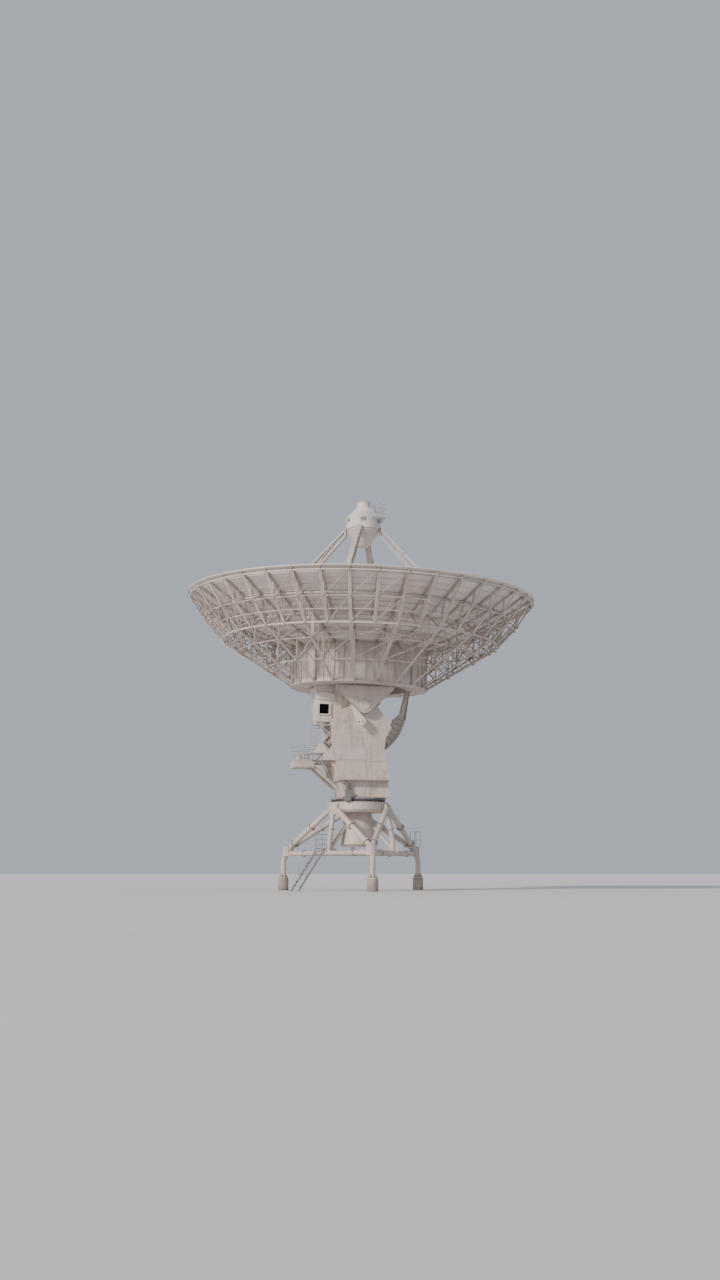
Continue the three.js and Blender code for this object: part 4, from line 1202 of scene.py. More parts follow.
def feed_leg():
    """Two boxed chords with cross pieces, lacing, a bolted joint and foot plates on the panels."""
    outer, inner = OUTER_CHORD, INNER_CHORD
    outer_end = middle(*outer, meets_bowl(*outer))
    inner_end = middle(*inner, meets_bowl(*inner))
    chords = rib_lines([(middle(*outer, 0.034), outer_end), (inner[0], inner_end)])
    head = rib_lines([((1.325, 12.6), (1.325, 13.22))])
    parts = [bars(chords, rectangle(0.36, 0.14)), bars(head, rectangle(0.36, 0.14))]
    # Cross pieces at these shares of the chords, and lacing from each to the next.
    stations, nexts = (0.16, 0.36, 0.56, 0.76), (0.36, 0.56, 0.76, 0.94)
    posts = [(middle(*outer, s), middle(*inner, s)) for s in stations]
    braces = [(middle(*outer, s), middle(*inner, e)) for s, e in zip(stations, nexts)]
    parts.append(bars(rib_lines(posts + braces), rectangle(0.28, 0.08)))
    cuffs = [(middle(*chord, s - 0.006), middle(*chord, s + 0.006))
             for chord in (outer, inner) for s in (0.26, 0.66)]
    parts.append(bars(rib_lines(cuffs), rectangle(0.42, 0.2)))
    pads = []
    for x, _ in (outer_end, inner_end):
        rise = 0.3 * x / (2 * FOCAL_LENGTH)
        level = bowl(x) + 0.012
        pads.append([(x - 0.3, 0, level - rise), (x + 0.3, 0, level + rise)])
    parts.append(bars(pads, rectangle(0.52, 0.03)))
    return joined(*parts)


def leg_rungs():
    """Climbing rungs up the outer face of one leg."""
    spots = [middle(*OUTER_CHORD, s) for s in np.linspace(0.08, 0.9, 34)]
    half, out, up = 0.14, 0.1, 0.095
    rungs = [[(x + out, -half, z + up), (x + out, half, z + up)] for x, z in spots]
    feet = [[(x + 0.04, y, z + 0.03), (x + out, y, z + up)] for x, z in spots for y in (-half, half)]
    return joined(tubes(rungs, 0.012, 6), tubes(feet, 0.012, 6))


def apex_drum():
    """The housing's outline turned about the axis, with rings, seams, rafters and pods."""
    body = lathe([
        (CORE, 13.11), (1.25, 13.11), (1.25, 13.96), (1.18, 14.02), (0.56, 14.76), (0.48, 14.76),
        (0.48, 15.2), (0.46, 15.225), (0.3, 15.24), (CORE, 15.24)])
    rings = [band(r - 0.01, r + 0.025, z, z + 0.05)
             for r, z in ((1.23, 13.12), (1.23, 13.5), (1.23, 13.90), (0.475, 14.78), (0.475, 15.12))]
    seam = blocks([(1.24, -0.012, 13.17), (1.262, 0.012, 13.9)])
    rafter = bars([[(1.16, 0, 14.055), (0.58, 0, 14.745)]], rectangle(0.03, 0.03))
    pod = blocks([(1.22, -0.22, 13.22), (1.3, 0.22, 13.46)])
    return joined(
        body, *rings, around(seam, even(12, 0.26)), around(rafter, even(12, 0.26)),
        around(pod, np.radians([-128, 52, 142])))


def apex_vents():
    """Louvres between the housing's seams and a band under the cap, both in near-black painted shade.
    """
    section = [(-0.012, -0.01), (0.012, -0.004), (0.012, 0.002), (-0.012, -0.004)]
    slat = bars([[(1.258, -0.2, 0), (1.258, 0.2, 0)]], section)
    stack = joined(*[moved(slat, (0, 0, z)) for z in np.linspace(13.58, 13.84, 7)])
    under_cap = band(0.47, 0.487, 15.13, 15.2, 48)
    return joined(around(stack, np.radians([-100, -38, 22, 80, 200])), under_cap)


def mirror():
    """The convex mirror: its measured profile, with five steps between points, turned about the
    axis, and a band round its edge."""
    radius = np.array([CORE, 0.2, 0.38, 0.68, 0.98, 1.17])
    height = np.array([11.78, 11.82, 11.9, 12.22, 12.65, 13.0])
    fine = np.linspace(0, 5, 26)
    curve = zip(np.interp(fine, range(6), radius), np.interp(fine, range(6), height))
    edge = band(1.15, 1.185, 12.97, 13.03)
    return joined(lathe([*curve, (1.17, 13.1097), (CORE, 13.1097)]), edge)


def apex_cage(rail):
    """The railed stand at the side of the housing."""
    low, mid, high = 14.35, 14.7, 15.08
    corners = [(0.95, -0.56), (1.5, -0.56), (1.5, 0.56), (0.95, 0.56)]
    fence = railing(corners, (low, mid, high), 14.05, high, rail / 2, kick=0.1)
    # The two upper rails run on to the housing's neck at both ends.
    ends = tubes([
        [(0.95, side * 0.56, z), (x, side * 0.3, z)]
        for z, x in ((high, 0.62), (mid, 0.7)) for side in (-1, 1)], rail / 2, 10)
    stays = tubes([[(1.45, y, 14.02), (1.2, y, 13.6)] for y in (-0.5, 0.5)], 0.03, 10)
    floor = grating((0.85, -0.6), (1.54, 0.6), 14.06, 0.04, 0.06)
    return joined(fence, ends, stays, floor)


class TELESCOPE_OT_feeds(bpy.types.Operator):
    """Build the feed drum with its horns and the four feed legs"""
    bl_idname = "telescope.feeds"
    bl_label = "Feeds and legs"

    def execute(self, context):
        build("feed_cluster", feed_cluster(), "housing paint", "dish", ["feed_drum"])
        for name, degrees in (("front", 0), ("far", 90), ("rear", 180), ("near", 270)):
            leg = around(feed_leg(), math.radians(degrees + LEG_TURN))
            build(f"leg_{name}", leg, "structure paint", "dish", [f"feed_leg_{name}"], bevel=0.008)
        rungs = around(leg_rungs(), math.radians(180 + LEG_TURN))
        build("leg_rungs", rungs, "galvanised steel", "dish")
        return {"FINISHED"}


class TELESCOPE_OT_apex(bpy.types.Operator):
    """Build the apex housing, its mirror and the railed stand"""
    bl_idname = "telescope.apex"
    bl_label = "Apex"

    def execute(self, context):
        sizes = context.scene.telescope_sizes
        stand = apex_cage(sizes.handrail)
        build("apex_drum", apex_drum(), "housing paint", "dish", ["apex_housing"])
        # The louvres and the band under the cap are painted shade: near black where the housing lies
        # unlit.
        build("apex_louvres", apex_vents(), "dark interior", "dish")
        build("mirror", mirror(), "panel paint", "dish", ["subreflector"])
        build("apex_stand", stand, "galvanised steel", "dish", ["apex_cage"])
        return {"FINISHED"}


# Yoke

def arm_outline():
    """The arm's side as (x, z): from the base up its front, round its head and down its rear."""
    head = arc((0, TIP_HEIGHT), 0.95, 0, 180, 40)
    return np.array([
        (-1.95, BASE_TOP), (1.62, BASE_TOP), (1.5, 9.9), (1.56, 10.5), (2.0, 11.3), (1.45, 12.2),
        *head, (-1.85, 12.35), (-2.3, 11.6), (-2.2, 10.5)])


def arm(side):
    """A welded box: outer plates on a slightly smaller core, so that the plates' edges stand
    proud, with two ribs round its lower half."""
    low, high = sorted((side * ARM_INNER, side * ARM_OUTER))
    outline = arm_outline()
    centre = np.array([-0.2, 11.0])
    core = centre + (outline - centre) * 0.985
    # The foot of the core keeps its height and width, so that it stands on the base.
    core[:2] = outline[:2]
    body = prism(core, low + 0.02, high - 0.02)
    plates = [prism(outline, y, y + 0.03) for y in (low, high - 0.03)]
    y = side * (ARM_INNER + ARM_OUTER) / 2
    lines = [[(-2.0, y, 9.6), (1.5, y, 9.6)], [(-2.15, y, 10.4), (1.5, y, 10.4)]]
    return joined(body, *plates, bars(lines, rectangle(0.74, 0.02)))


def hand_hole(radius, steps):
    """The outline of an arm's hand hole: half circles above and below, joined by its sides."""
    upper, lower = (-0.35, 10.6), (-0.35, 10.2)
    return [*arc(upper, radius, 0, 180, steps), *arc(lower, radius, 180, 360, steps)]


def arm_seams(side):
    """Raised weld beads, a bearing ring, a hand hole's cover and a lug on an arm's outer face."""
    sunk, proud = ARM_OUTER - 0.01, ARM_OUTER + 0.012
    y = side * (sunk + proud) / 2
    runs = [
        ((-2.05, 9.75), (1.5, 9.75)), ((-2.25, 11.25), (1.95, 11.25)), ((-0.95, 12.3), (1.35, 12.3)),
        ((0.25, 9.02), (0.25, 11.25)), ((-1.1, 9.75), (-1.1, 12.4))]
    beads = bars([[(a[0], y, a[1]), (b[0], y, b[1])] for a, b in runs], rectangle(0.02, 0.022))
    # Once it is laid down, the ring reaches 0.09 m towards the near side.
    ring = [(0.5, 0), (0.74, 0), (0.74, 0.05), (0.70, 0.09), (0.5, 0.09)]
    ring = turned(lathe(ring, 64, closed=True), ALONG_Y)
    ring = moved(ring, (0, side * ARM_OUTER + (0.09 if side > 0 else 0), TIP_HEIGHT))
    cover = sheet(hand_hole(0.28, 16), side, sunk, ARM_OUTER + 0.03)
    lug = [(-1.5, 11.6), (-1.3, 11.6), *arc((-1.4, 11.78), 0.1, 0, 180, 10)]
    return joined(beads, ring, cover, sheet(lug, side, sunk, ARM_OUTER + 0.05))


def arm_bolts(side, size):
    """Bolts round an arm's bearing ring and round its hand hole's cover."""
    ring_face, cover_face = side * (ARM_OUTER + 0.085), side * (ARM_OUTER + 0.028)
    ring = [(x, ring_face, TIP_HEIGHT + z) for x, z in circle(0.63, 24)]
    small = [(x, cover_face, z) for x, z in hand_hole(0.235, 8)]
    outwards = (0, side, 0)
    return joined(bolts(ring, outwards, size, 0.022), bolts(small, outwards, size * 0.5, 0.012))


def pocket_door():
    """The pocket low on the near arm, lined in near-black painted shade, with its frame."""
    lining = blocks([(0.49, -2.06, 9.46), (0.97, -2.05, 10.04)])
    surround = blocks([
        [(0.44, -2.27, 9.41), (0.48, -2.04, 10.09)], [(0.98, -2.27, 9.41), (1.02, -2.04, 10.09)],
        [(0.48, -2.27, 10.05), (0.98, -2.04, 10.09)], [(0.48, -2.27, 9.41), (0.98, -2.04, 9.45)]])
    return lining, surround


# The middle of the drop-shaped cover's wide end, as (x, z).
DROP_BOSS = (-0.29, 11.68)


def drop_outline(grow):
    """A large arc round the boss and a small one at the tip, with both radii larger by grow."""
    tip = (-0.93, 12.7)
    return [*arc(DROP_BOSS, 0.34 + grow, -148, 32, 24), *arc(tip, 0.085 + grow, 32, 212, 12)]


def drop_cover():
    """A drop-shaped cover on a round stem: its outline in two steps, so that the edge is rounded."""
    x, z = DROP_BOSS
    stem = tubes([[(x, -2.2503, z), (x, -2.87, z)]], 0.15, 32)
    foot = moved(turned(band(0.14, 0.22, 0, 0.03, 32), ALONG_Y), (x, -2.251, z))
    body, front = prism(drop_outline(0), -2.96, -2.86), prism(drop_outline(-0.03), -2.979, -2.95)
    return joined(body, front, stem, foot)


def cover_caps():
    """Two round rubber caps side by side on the cover's boss."""
    return tubes([[(x, -2.97, 11.63), (x, -2.98, 11.63)] for x in (-0.44, -0.19)], 0.055, 24)


def doublers():
    """Plates welded on the outer faces of the arms, the base and the neck, over their rear part."""
    front = 0.22
    arm_plate = [
        (-1.9, 9.06), (front, 9.06), (front, 9.5), (-0.29, 11.0), (-0.29, 11.2), (-2.22, 11.2),
        (-2.13, 10.5)]
    base_plate = [(-1.77, 7.72), (front, 7.72), (front, 8.92), (-1.92, 8.92)]
    neck_plate = [(-1.36, 6.52), (front, 6.52), (front, 7.6), (-1.56, 7.6)]
    plates = ((arm_plate, ARM_OUTER), (base_plate, ARM_OUTER), (neck_plate, NECK_FACE))
    return joined(*[sheet(outline, side, face - 0.01, face + 0.022)
                    for outline, face in plates for side in (-1, 1)])


def base_plates():
    """Edge plates, seams, stiffeners and gussets that stand proud of the base and neck."""
    top_lip = [(-1.97, 8.94), (1.65, 8.94), (1.64, BASE_TOP), (-1.98, BASE_TOP)]
    low_lip = [(-1.77, 7.64), (1.82, 7.64), (1.82, 7.70), (-1.77, 7.70)]
    parts = [sheet(lip, side, ARM_OUTER, ARM_OUTER + 0.03)
             for side in (-1, 1) for lip in (top_lip, low_lip)]
    parts += [blocks([(x - 0.01, -2.262, 7.7), (x + 0.01, 2.262, 8.94)]) for x in (-0.9, 0.35, 1.1)]
    parts.append(blocks([(-1.76, -2.27, 7.63), (1.81, 2.27, 7.66)]))
    # Upright stiffeners on the neck's sides, as (foot's x, lean to the head).
    stiffeners = ((-1.2, -0.25), (-0.4, -0.1), (0.5, 0), (1.5, 0))
    lines = [[(x, y, 6.5), (x + lean, y, 7.62)] for y in (-1.71, 1.71) for x, lean in stiffeners]
    parts.append(bars(lines, rectangle(0.03, 0.05)))
    parts.append(blocks([(-1.38, -1.78, 6.46), (1.95, 1.78, 6.5)]))
    gusset = [(-1.96, BASE_TOP), (-3.15, BASE_TOP), (-3.15, 9.06), (-2.2, 10.0)]
    parts += [moved(prism(gusset, -0.015, 0.015), (0, y, 0)) for y in (-1.1, 1.1, -2.16)]
    ledge = [(-1.76, 7.7), (-1.94, 8.9), (-2.3, 8.9)]
    parts += [moved(prism(ledge, -0.012, 0.012), (0, y, 0)) for y in (-1.9, -0.6, 0.6, 1.9)]
    return joined(*parts)


def azimuth_ring(size):
    """Two bearing rings with a toothed band between them, and a circle of bolts on top."""
    ring = lathe([
        (CORE, 6.155), (1.86, 6.155), (1.86, 6.32), (1.95, 6.335), (1.95, 6.42), (1.93, 6.45),
        (CORE, 6.45)], 120)
    pintle = tubes([[(0, 0, 5.9), (0, 0, 6.2)]], 0.6, 48)
    tooth = bars([[(1.85, 0, 6.235), (1.93, 0, 6.235)]], rectangle(0.055, 0.13))
    heads = bolt_circle(1.885, 60, size * 0.8, 0.03, 6.448)
    return joined(ring, pintle), around(tooth, even(120)), heads


def azimuth_drive(side, size):
    """A gearbox with ribs and a flanged motor with cooling fins, beside the neck."""
    x, y = side * -1.05, -side * 1.91
    low, high = 6.2, 6.95

    def about(half_x, half_y, bottom, top):
        """A box with its middle on the drive's axis."""
        return [(x - half_x, y - half_y, bottom), (x + half_x, y + half_y, top)]

    box = blocks(about(0.205, 0.2, low + 0.02, high - 0.03))
    lids = blocks([about(0.21, 0.21, high - 0.05, high), about(0.21, 0.21, low, low + 0.04)])
    ribs_out = blocks([
        about(0.215, 0.21, low + 0.3, low + 0.33), about(0.02, 0.215, low + 0.04, high - 0.05)])
    motor = lathe([
        (CORE, high), (0.15, high), (0.15, 6.98), (0.125, 6.99), (0.125, 7.36), (0.14, 7.37),
        (0.14, 7.43), (0.12, 7.45), (CORE, 7.45)], 32)
    fins = around(blocks([(0.12, -0.004, 7.0), (0.14, 0.004, 7.34)]), even(24))
    heads = moved(bolt_circle(0.17, 8, size * 0.5, 0.02, high), (x, y, 0))
    return joined(box, lids, ribs_out, moved(joined(motor, fins), (x, y, 0))), heads


def elevation_gear():
    """The long gearbox between the arms, with two finned motors that lie on it."""
    top = TIP_HEIGHT - 3.54
    body = blocks([(-0.79, -1.09, BASE_TOP), (0.29, 1.09, top - 0.02)])
    lids = blocks([
        [(-0.8, -1.1, top - 0.05), (0.3, 1.1, top)], [(-0.8, -1.1, BASE_TOP), (0.3, 1.1, 9.03)]])
    hoops = blocks([
        [(-0.81, y - 0.012, 9.02), (0.31, y + 0.012, top)] for y in (-0.7, -0.25, 0.25, 0.7)])
    shell_outline = [
        (CORE, 0), (0.2, 0), (0.23, 0.02), (0.23, 0.08), (0.2, 0.1), (0.2, 0.55), (0.23, 0.57),
        (0.23, 0.65), (0.2, 0.67), (CORE, 0.67)]
    fins = around(blocks([(0.19, -0.006, 0.12), (0.225, 0.006, 0.53)]), even(28))
    motor = turned(joined(lathe(shell_outline, 40), fins), ALONG_Y)
    parts = [body, lids, hoops]
    # Each motor reaches 0.67 m from its place towards the near side, so that both lie between
    # 0.38 m and 1.05 m from the middle.
    for side, place in ((-1, -0.38), (1, 1.05)):
        y = side * 0.7
        parts.append(moved(motor, (-0.25, place, top + 0.18)))
        parts.append(blocks([(-0.42, y - 0.1, top - 0.01), (-0.08, y + 0.1, top + 0.08)]))
    return joined(*parts)


def platform():
    """A framed deck with channels and a walk to the yoke, on two round struts."""
    rear, front, half, low = -4.7, -3.3, 0.97, 8.56
    channels = level_bars([
        [(rear, -half), (front, -half)], [(rear, half), (front, half)],
        [(rear, -half), (rear, half)], [(front, -half), (front, half)]], 8.77, 0.05, 0.42)
    box = blocks([(-4.65, -half, low + 0.04), (-3.33, half, DECK_TOP - 0.04)])
    cross = blocks([
        [(x - 0.02, -0.99, low), (x + 0.02, 0.99, low + 0.05)] for x in (-4.4, -4.0, -3.6)])
    walk = blocks([
        [(front, -0.99, 8.87), (-1.96, -0.95, 8.97)], [(front, 0.95, 8.87), (-1.96, 0.99, 8.97)],
        [(-2.9, -half, 8.87), (-2.86, half, 8.96)], [(-2.4, -half, 8.87), (-2.36, half, 8.96)]])
    struts = tubes([[(-3.33, y, 8.62), (-1.3, y, 6.838)] for y in (-0.75, 0.75)], 0.11, 24)
    feet = blocks([[(-3.62, y - 0.15, 8.52), (-3.28, y + 0.15, 8.58)] for y in (-0.75, 0.75)])
    return joined(channels, box, cross, walk, struts, feet)


def platform_deck():
    """The gratings of the deck and of the walk between it and the yoke."""
    return joined(
        grating((-4.66, -0.96), (-3.34, 0.96), DECK_TOP, 0.04, 0.07),
        grating((-3.26, -0.95), (-1.97, 0.95), DECK_TOP, 0.04, 0.07))


def platform_rails(rail):
    """Round posts and three rails about the deck, with kick boards."""
    rear, front, half = -4.66, -3.4, 0.96
    corners = [(front, -half), (-4.05, -half), (rear, -half), (rear, 0), (rear, half), (-4.05, half),
               (front, half)]
    return railing(corners, (9.54, 9.82, 10.1), DECK_TOP, 10.1, rail / 2, kick=0.12)


def cabinet():
    """A low sheet-steel cabinet with doors, louvres, handles, cable glands and a wider roof."""
    body = blocks([(-4.42, -0.62, 9.02), (-3.62, 0.62, 9.43)])
    plinth = blocks([(-4.4, -0.6, 8.981), (-3.64, 0.6, 9.03)])
    roof = blocks([(-4.47, -0.67, 9.42), (-3.57, 0.67, 9.48)])
    low, high = 9.05, 9.4
    doors = blocks([
        [(-4.432, -0.58, low), (-4.41, -0.01, high)], [(-4.432, 0.01, low), (-4.41, 0.58, high)],
        [(-4.38, -0.632, low), (-4.0, -0.61, high)], [(-3.98, -0.632, low), (-3.66, -0.61, high)]])
    louvres = blocks([[(-4.445, y, z), (-4.425, y + 0.3, z + 0.015)]
                      for y in (-0.45, 0.2) for z in np.linspace(9.26, 9.36, 4)])
    handles = tubes([[(-4.45, y, 9.12), (-4.45, y, 9.22)] for y in (-0.08, 0.08)], 0.012, 8)
    glands = tubes([[(-3.62, y, 9.1), (-3.5, y, 9.1)] for y in (-0.4, -0.2, 0.2, 0.4)], 0.03, 12)
    return joined(body, plinth, roof, doors, louvres, handles, glands)


def service_deck(rail):
    """The deck behind the near arm with its ladder, which leads to a landing below the hatch."""
    edges = [[(-4.05, -2.125), (-2.05, -2.125)], [(-4.05, -1.175), (-2.32, -1.175)]]
    edges += [[(x, -2.1), (x, -1.2)] for x in (-4.025, -3.3, -2.6)]
    deck = joined(
        level_bars(edges, LADDER_DECK_FRAME, 0.05, 0.12),
        grating((-4.0, -2.1), (-2.34, -1.2), 9.548, 0.035, 0.06),
        grating((-2.32, -2.1), (-2.05, -1.47), 9.548, 0.035, 0.06))
    foot = np.array([-3.935, -1.79, 9.55])
    head = np.array([-3.655, -1.79, LADDER_LANDING_FRAME])
    width = np.array([0.59, 0, 0])
    sides = bars([[foot, head], [foot + width, head + width]], rectangle(0.16, 0.045))
    spots = foot + (head - foot) * (np.arange(1, 8)[:, None] / 8)
    corners = [spots + (0.02, -0.07, -0.014), spots + (0.57, 0.07, 0.014)]
    rungs = blocks(np.stack(corners, axis=1))
    edges = [[(-3.675, y), (-2.32, y)] for y in (-2.13, -1.5)]
    edges += [[(x, -2.11), (x, -1.52)] for x in (-3.655, -2.34)]
    landing_frame = level_bars(edges, LADDER_LANDING_FRAME, 0.04, 0.06)
    landing_floor = grating((-3.64, -2.11), (-2.34, -1.52), 11.5, 0.03, 0.06)
    stays = tubes([[(-3.1, y, 11.45), (-2.24, y, 10.75)] for y in (-2.1, -1.53)], 0.03, 12)
    kerb = railing([(x, -2.13) for x in (-3.64, -3.0, -2.36)], (11.68,), 11.5, 11.68, rail / 2)
    return joined(deck, sides, rungs, landing_frame, landing_floor, stays, kerb)


def guard_plate():
    """The painted three-sided plate at the deck's near edge, with a rim along its two slopes."""
    plate = prism([(-3.45, 9.54), (-2.45, 9.54), (-3.08, 10.32)], -2.14, -2.12)
    rim = [[(x, -2.13, 9.56), (-3.08, -2.13, 10.31)] for x in (-3.44, -2.46)]
    return joined(plate, bars(rim, rectangle(0.04, 0.03)))


def conduits():
    """Steel pipes for the cables, along the yoke's rear and down its front, with three clips."""
    runs = [[(-3.5, side * 0.2, 9.1), (-2.6, side * 0.2, 9.1), (-2.05, side * 0.6, 9.1),
             (-1.98, side * 1.3, 9.1)] for side in (1, -1)]
    uprights = [[(-2.02, y, 9.05), (-2.24, y, 10.5)] for y in (1.7, 1.78)]
    down_rear = [[(-1.95 + 0.2 * (8.9 - z) / 1.3, y, z) for z in (8.9, 7.7)]
                 for y in (-0.3, -0.2, 0.3, 0.4)]
    down_front = [[(1.72, y, 8.6), (1.86, y, 7.7)] for y in (0.9, 1.0, 1.1)]
    clips = blocks([[(1.7, 0.82, z), (1.9, 1.18, z + 0.03)] for z in (7.8, 8.1, 8.4)])
    straight = tubes(uprights + down_rear + down_front, 0.024, 10)
    return joined(*[pipe(run, 0.025, 10) for run in runs], straight, clips)


class TELESCOPE_OT_arms(bpy.types.Operator):
    """Build the yoke's arms with their bearings, seams, hatches and bolts"""
    bl_idname = "telescope.arms"
    bl_label = "Yoke arms"

    def execute(self, context):
        sizes = context.scene.telescope_sizes
        paint = "structure paint"
        for side, name in ((-1, "near"), (1, "far")):
            build(f"arm_{name}", arm(side), paint, "yoke", [f"yoke_arm_{name}"], bevel=0.008)
            build(f"arm_seams_{name}", arm_seams(side), paint, "yoke")
            build(f"arm_bolts_{name}", arm_bolts(side, sizes.bolt), "plated bolts", "yoke")
        lining, surround = pocket_door()
        # The pocket's lining is painted shade: near black where the pocket lies unlit.
        build("pocket_lining", lining, "dark interior", "yoke", slot="structure_paint")
        build("pocket_frame", surround, paint, "yoke", bevel=0.005)
        build("drop_cover", drop_cover(), "housing paint", "yoke", ["arm_cover"], bevel=0.012)
        build("cover_caps", cover_caps(), "black rubber", "yoke")
        build("doublers", doublers(), paint, "yoke", bevel=0.005)
        return {"FINISHED"}


class TELESCOPE_OT_base(bpy.types.Operator):
    """Dress the base and neck, and build the turning ring and its drives"""
    bl_idname = "telescope.base"
    bl_label = "Base, neck and drives"

    def execute(self, context):
        sizes = context.scene.telescope_sizes
        grey = "machine enamel"
        dress("yoke_base", "structure paint")
        dress("yoke_neck", "structure paint")
        build("base_plates", base_plates(), "structure paint", "yoke", bevel=0.004)
        rings, teeth, heads = azimuth_ring(sizes.bolt)
        build("bearing_rings", rings, grey, "yoke", ["azimuth_bearing"])
        build("bearing_teeth", teeth, "greased steel", "yoke")
        build("bearing_bolts", heads, "plated bolts", "yoke")
        for side, name in ((1, "near"), (-1, "far")):
            drive, heads = azimuth_drive(side, sizes.bolt)
            build(f"drive_{name}", drive, grey, "yoke", [f"azimuth_drive_{name}"], bevel=0.004)
            build(f"drive_bolts_{name}", heads, "plated bolts", "yoke")
        build("elevation_gear", elevation_gear(), grey, "yoke", ["elevation_drive"], bevel=0.004)
        build("conduits", conduits(), "galvanised steel", "yoke")
        return {"FINISHED"}


class TELESCOPE_OT_platform(bpy.types.Operator):
    """Build the rear platform with its rails and cabinet, and the ladder deck behind it"""
    bl_idname = "telescope.platform"
    bl_label = "Rear platform"

    def execute(self, context):
        rail = context.scene.telescope_sizes.handrail
        zinc, white = "galvanised steel", "housing paint"
        build("platform_frame", platform(), "structure paint", "yoke", ["rear_platform"], bevel=0.005)
        build("platform_gratings", platform_deck(), zinc, "yoke")
        build("platform_rails", platform_rails(rail), zinc, "yoke", ["platform_railing"])
        build("cabinet", cabinet(), white, "yoke", ["equipment_cabinet"], bevel=0.006)
        build("ladder_deck", service_deck(rail), zinc, "yoke", ["service_stair"])
        build("guard_plate", guard_plate(), white, "yoke")
        return {"FINISHED"}


# Pedestal

def pier():
    """A round concrete pier with a chamfered top edge and a grout bed."""
    outline = [
        (CORE, 0.0), (0.375, 0.0), (0.375, 0.80), (0.35, 0.83), (0.33, 0.8497), (CORE, 0.8497)]
    return moved(lathe(outline, 48), (FOOT_RADIUS, 0, 0))


def corner_leg(size):
    """A bolted foot with fins, an upright pipe, a bend, and the knuckle drum with its cover
    plates, and apart from these their bolts."""
    foot, knuckle = (FOOT_RADIUS, 0, 0), (CORNER_RADIUS, 0, 0)
    flange = lathe([(CORE, 0.85), (0.36, 0.85), (0.36, 0.90), (0.35, 0.92), (CORE, 0.92)], 48)
    bend = [(0, 0.9), (0, 1.5), (0, 2.04), (-0.007, 2.12), (-0.028, 2.185), (-0.05, 2.227)]
    leg = pipe([*[(FOOT_RADIUS + x, 0, z) for x, z in bend], (CORNER_RADIUS, 0, 2.75)], 0.18, 32)
    fin = prism([(0.17, 0.915), (0.33, 0.915), (0.33, 0.95), (0.17, 1.3)], -0.01, 0.01)
    collar = band(0.17, 0.215, 1.5, 1.56, 32)
    plates = [disc(0.39, z, z + 0.035) for z in (2.42, 2.76, 3.095)]
    rods = np.stack([polar(0.28, even(16), z) for z in (0.9, 1.0)], axis=1)
    steel = joined(
        moved(flange, foot), leg, moved(joined(around(fin, even(8)), collar), foot),
        moved(joined(disc(0.37, 2.43, 3.12), *plates), knuckle))
    heads = joined(
        moved(bolt_circle(0.28, 16, size, 0.035, 0.918), foot),
        moved(bolt_circle(0.28, 10, size * 0.9, 0.03, 3.128), knuckle),
        moved(tubes(rods, size * 0.45, 8), foot))
    return steel, heads


def knuckle_guard(rail):
    """A small frame of rails round the top of the front corner's knuckle."""
    inner, outer, half, top = CORNER_RADIUS - 0.1, CORNER_RADIUS + 0.32, 0.3, 4.2
    corners = [(inner, -half), (outer, -half), (outer, half), (inner, half)]
    return railing(corners, (3.6, top), 3.12, top, rail / 2)


def strut_line(side):
    """The line of a sloping strut, from the knuckle on one side, -1 or 1, up to the ring."""
    return (SIDE_X, side * SIDE_Y, 2.92), RING_NODE


def bay_pipes(size):
    """One side of the triangle: beam, two sloping struts, middle post and knee brace, with plates
    where they meet, the bolted joints along them, and apart from these the joints' bolts."""
    start, end = (SIDE_X, -SIDE_Y, 2.6), (SIDE_X, SIDE_Y, 2.6)
    post, node = (SIDE_X, 0, 2.7), RING_NODE
    struts = [strut_line(side) for side in (-1, 1)]
    pipes = [
        tubes([[start, end]], 0.165, 32), tubes(struts, 0.19, 32), tubes([[post, node]], 0.17, 24),
        tubes([[(SIDE_X - 0.06, 0, 2.8), (0.92, 0, 4.72)]], 0.13, 20)]
    joints = [flange_pair(start, end, share, 0.25, 0.03, 12, size * 0.8) for share in (0.2, 0.8)]
    joints += [flange_pair(*line, share, 0.28, 0.035, 16, size)
               for line in struts for share in (0.13, 0.52)]
    joints.append(flange_pair(post, node, 0.5, 0.25, 0.03, 12, size * 0.8))
    flanges, heads = zip(*joints)
    web = [(SIDE_X - 0.5, 2.6), (SIDE_X + 0.28, 2.6), (SIDE_X + 0.2, 3.2), (SIDE_X - 0.45, 3.25)]
    node_plate = [(1.83, 5.35), (2.33, 5.3), (2.3, 6.0), (1.98, 6.05)]
    plates = [prism(web, -0.015, 0.015), prism(node_plate, -0.45, 0.45)]
    return joined(*pipes, *plates, *flanges), joined(*heads)


def ring_drum():
    """The fixed ring under the turning bearing, with flanges and upright fins."""
    body = lathe([
        (CORE, 5.45), (2.0, 5.45), (2.13, 5.6), (2.13, 6.15), (0.62, 6.15), (0.62, 5.86),
        (CORE, 5.86)], 120)
    flanges = [band(2.1, 2.15, z, z + 0.035, 120) for z in (5.62, 6.112)]
    fin = blocks([(2.1, -0.01, 5.62), (2.148, 0.01, 6.12)])
    return joined(body, *flanges, around(fin, even(36)))


def core_cone():
    """The cone that hangs in the ring, with its bands, seams and round manholes."""
    body = lathe([
        (CORE, 3.05), (1.13, 3.05), (1.17, 3.06), (1.35, 3.25), (0.95, 5.449), (CORE, 5.449)])
    bands = [lathe([(r - 0.02, z), (r + 0.03, z), (r + 0.024, z + 0.05), (r - 0.02, z + 0.05)],
                   closed=True) for r, z in ((1.35, 3.22), (1.165, 4.25), (0.965, 5.35))]
    seam = bars([[(1.352, 0, 3.27), (0.955, 0, 5.4)]], rectangle(0.02, 0.02))
    manhole = moved(turned(disc(0.3, -0.04, 0.04, 32), ALONG_X), (1.26, 0, 3.75))
    return joined(
        body, *bands, around(seam, even(6, 0.4)), around(manhole, np.radians([-75, 150])))


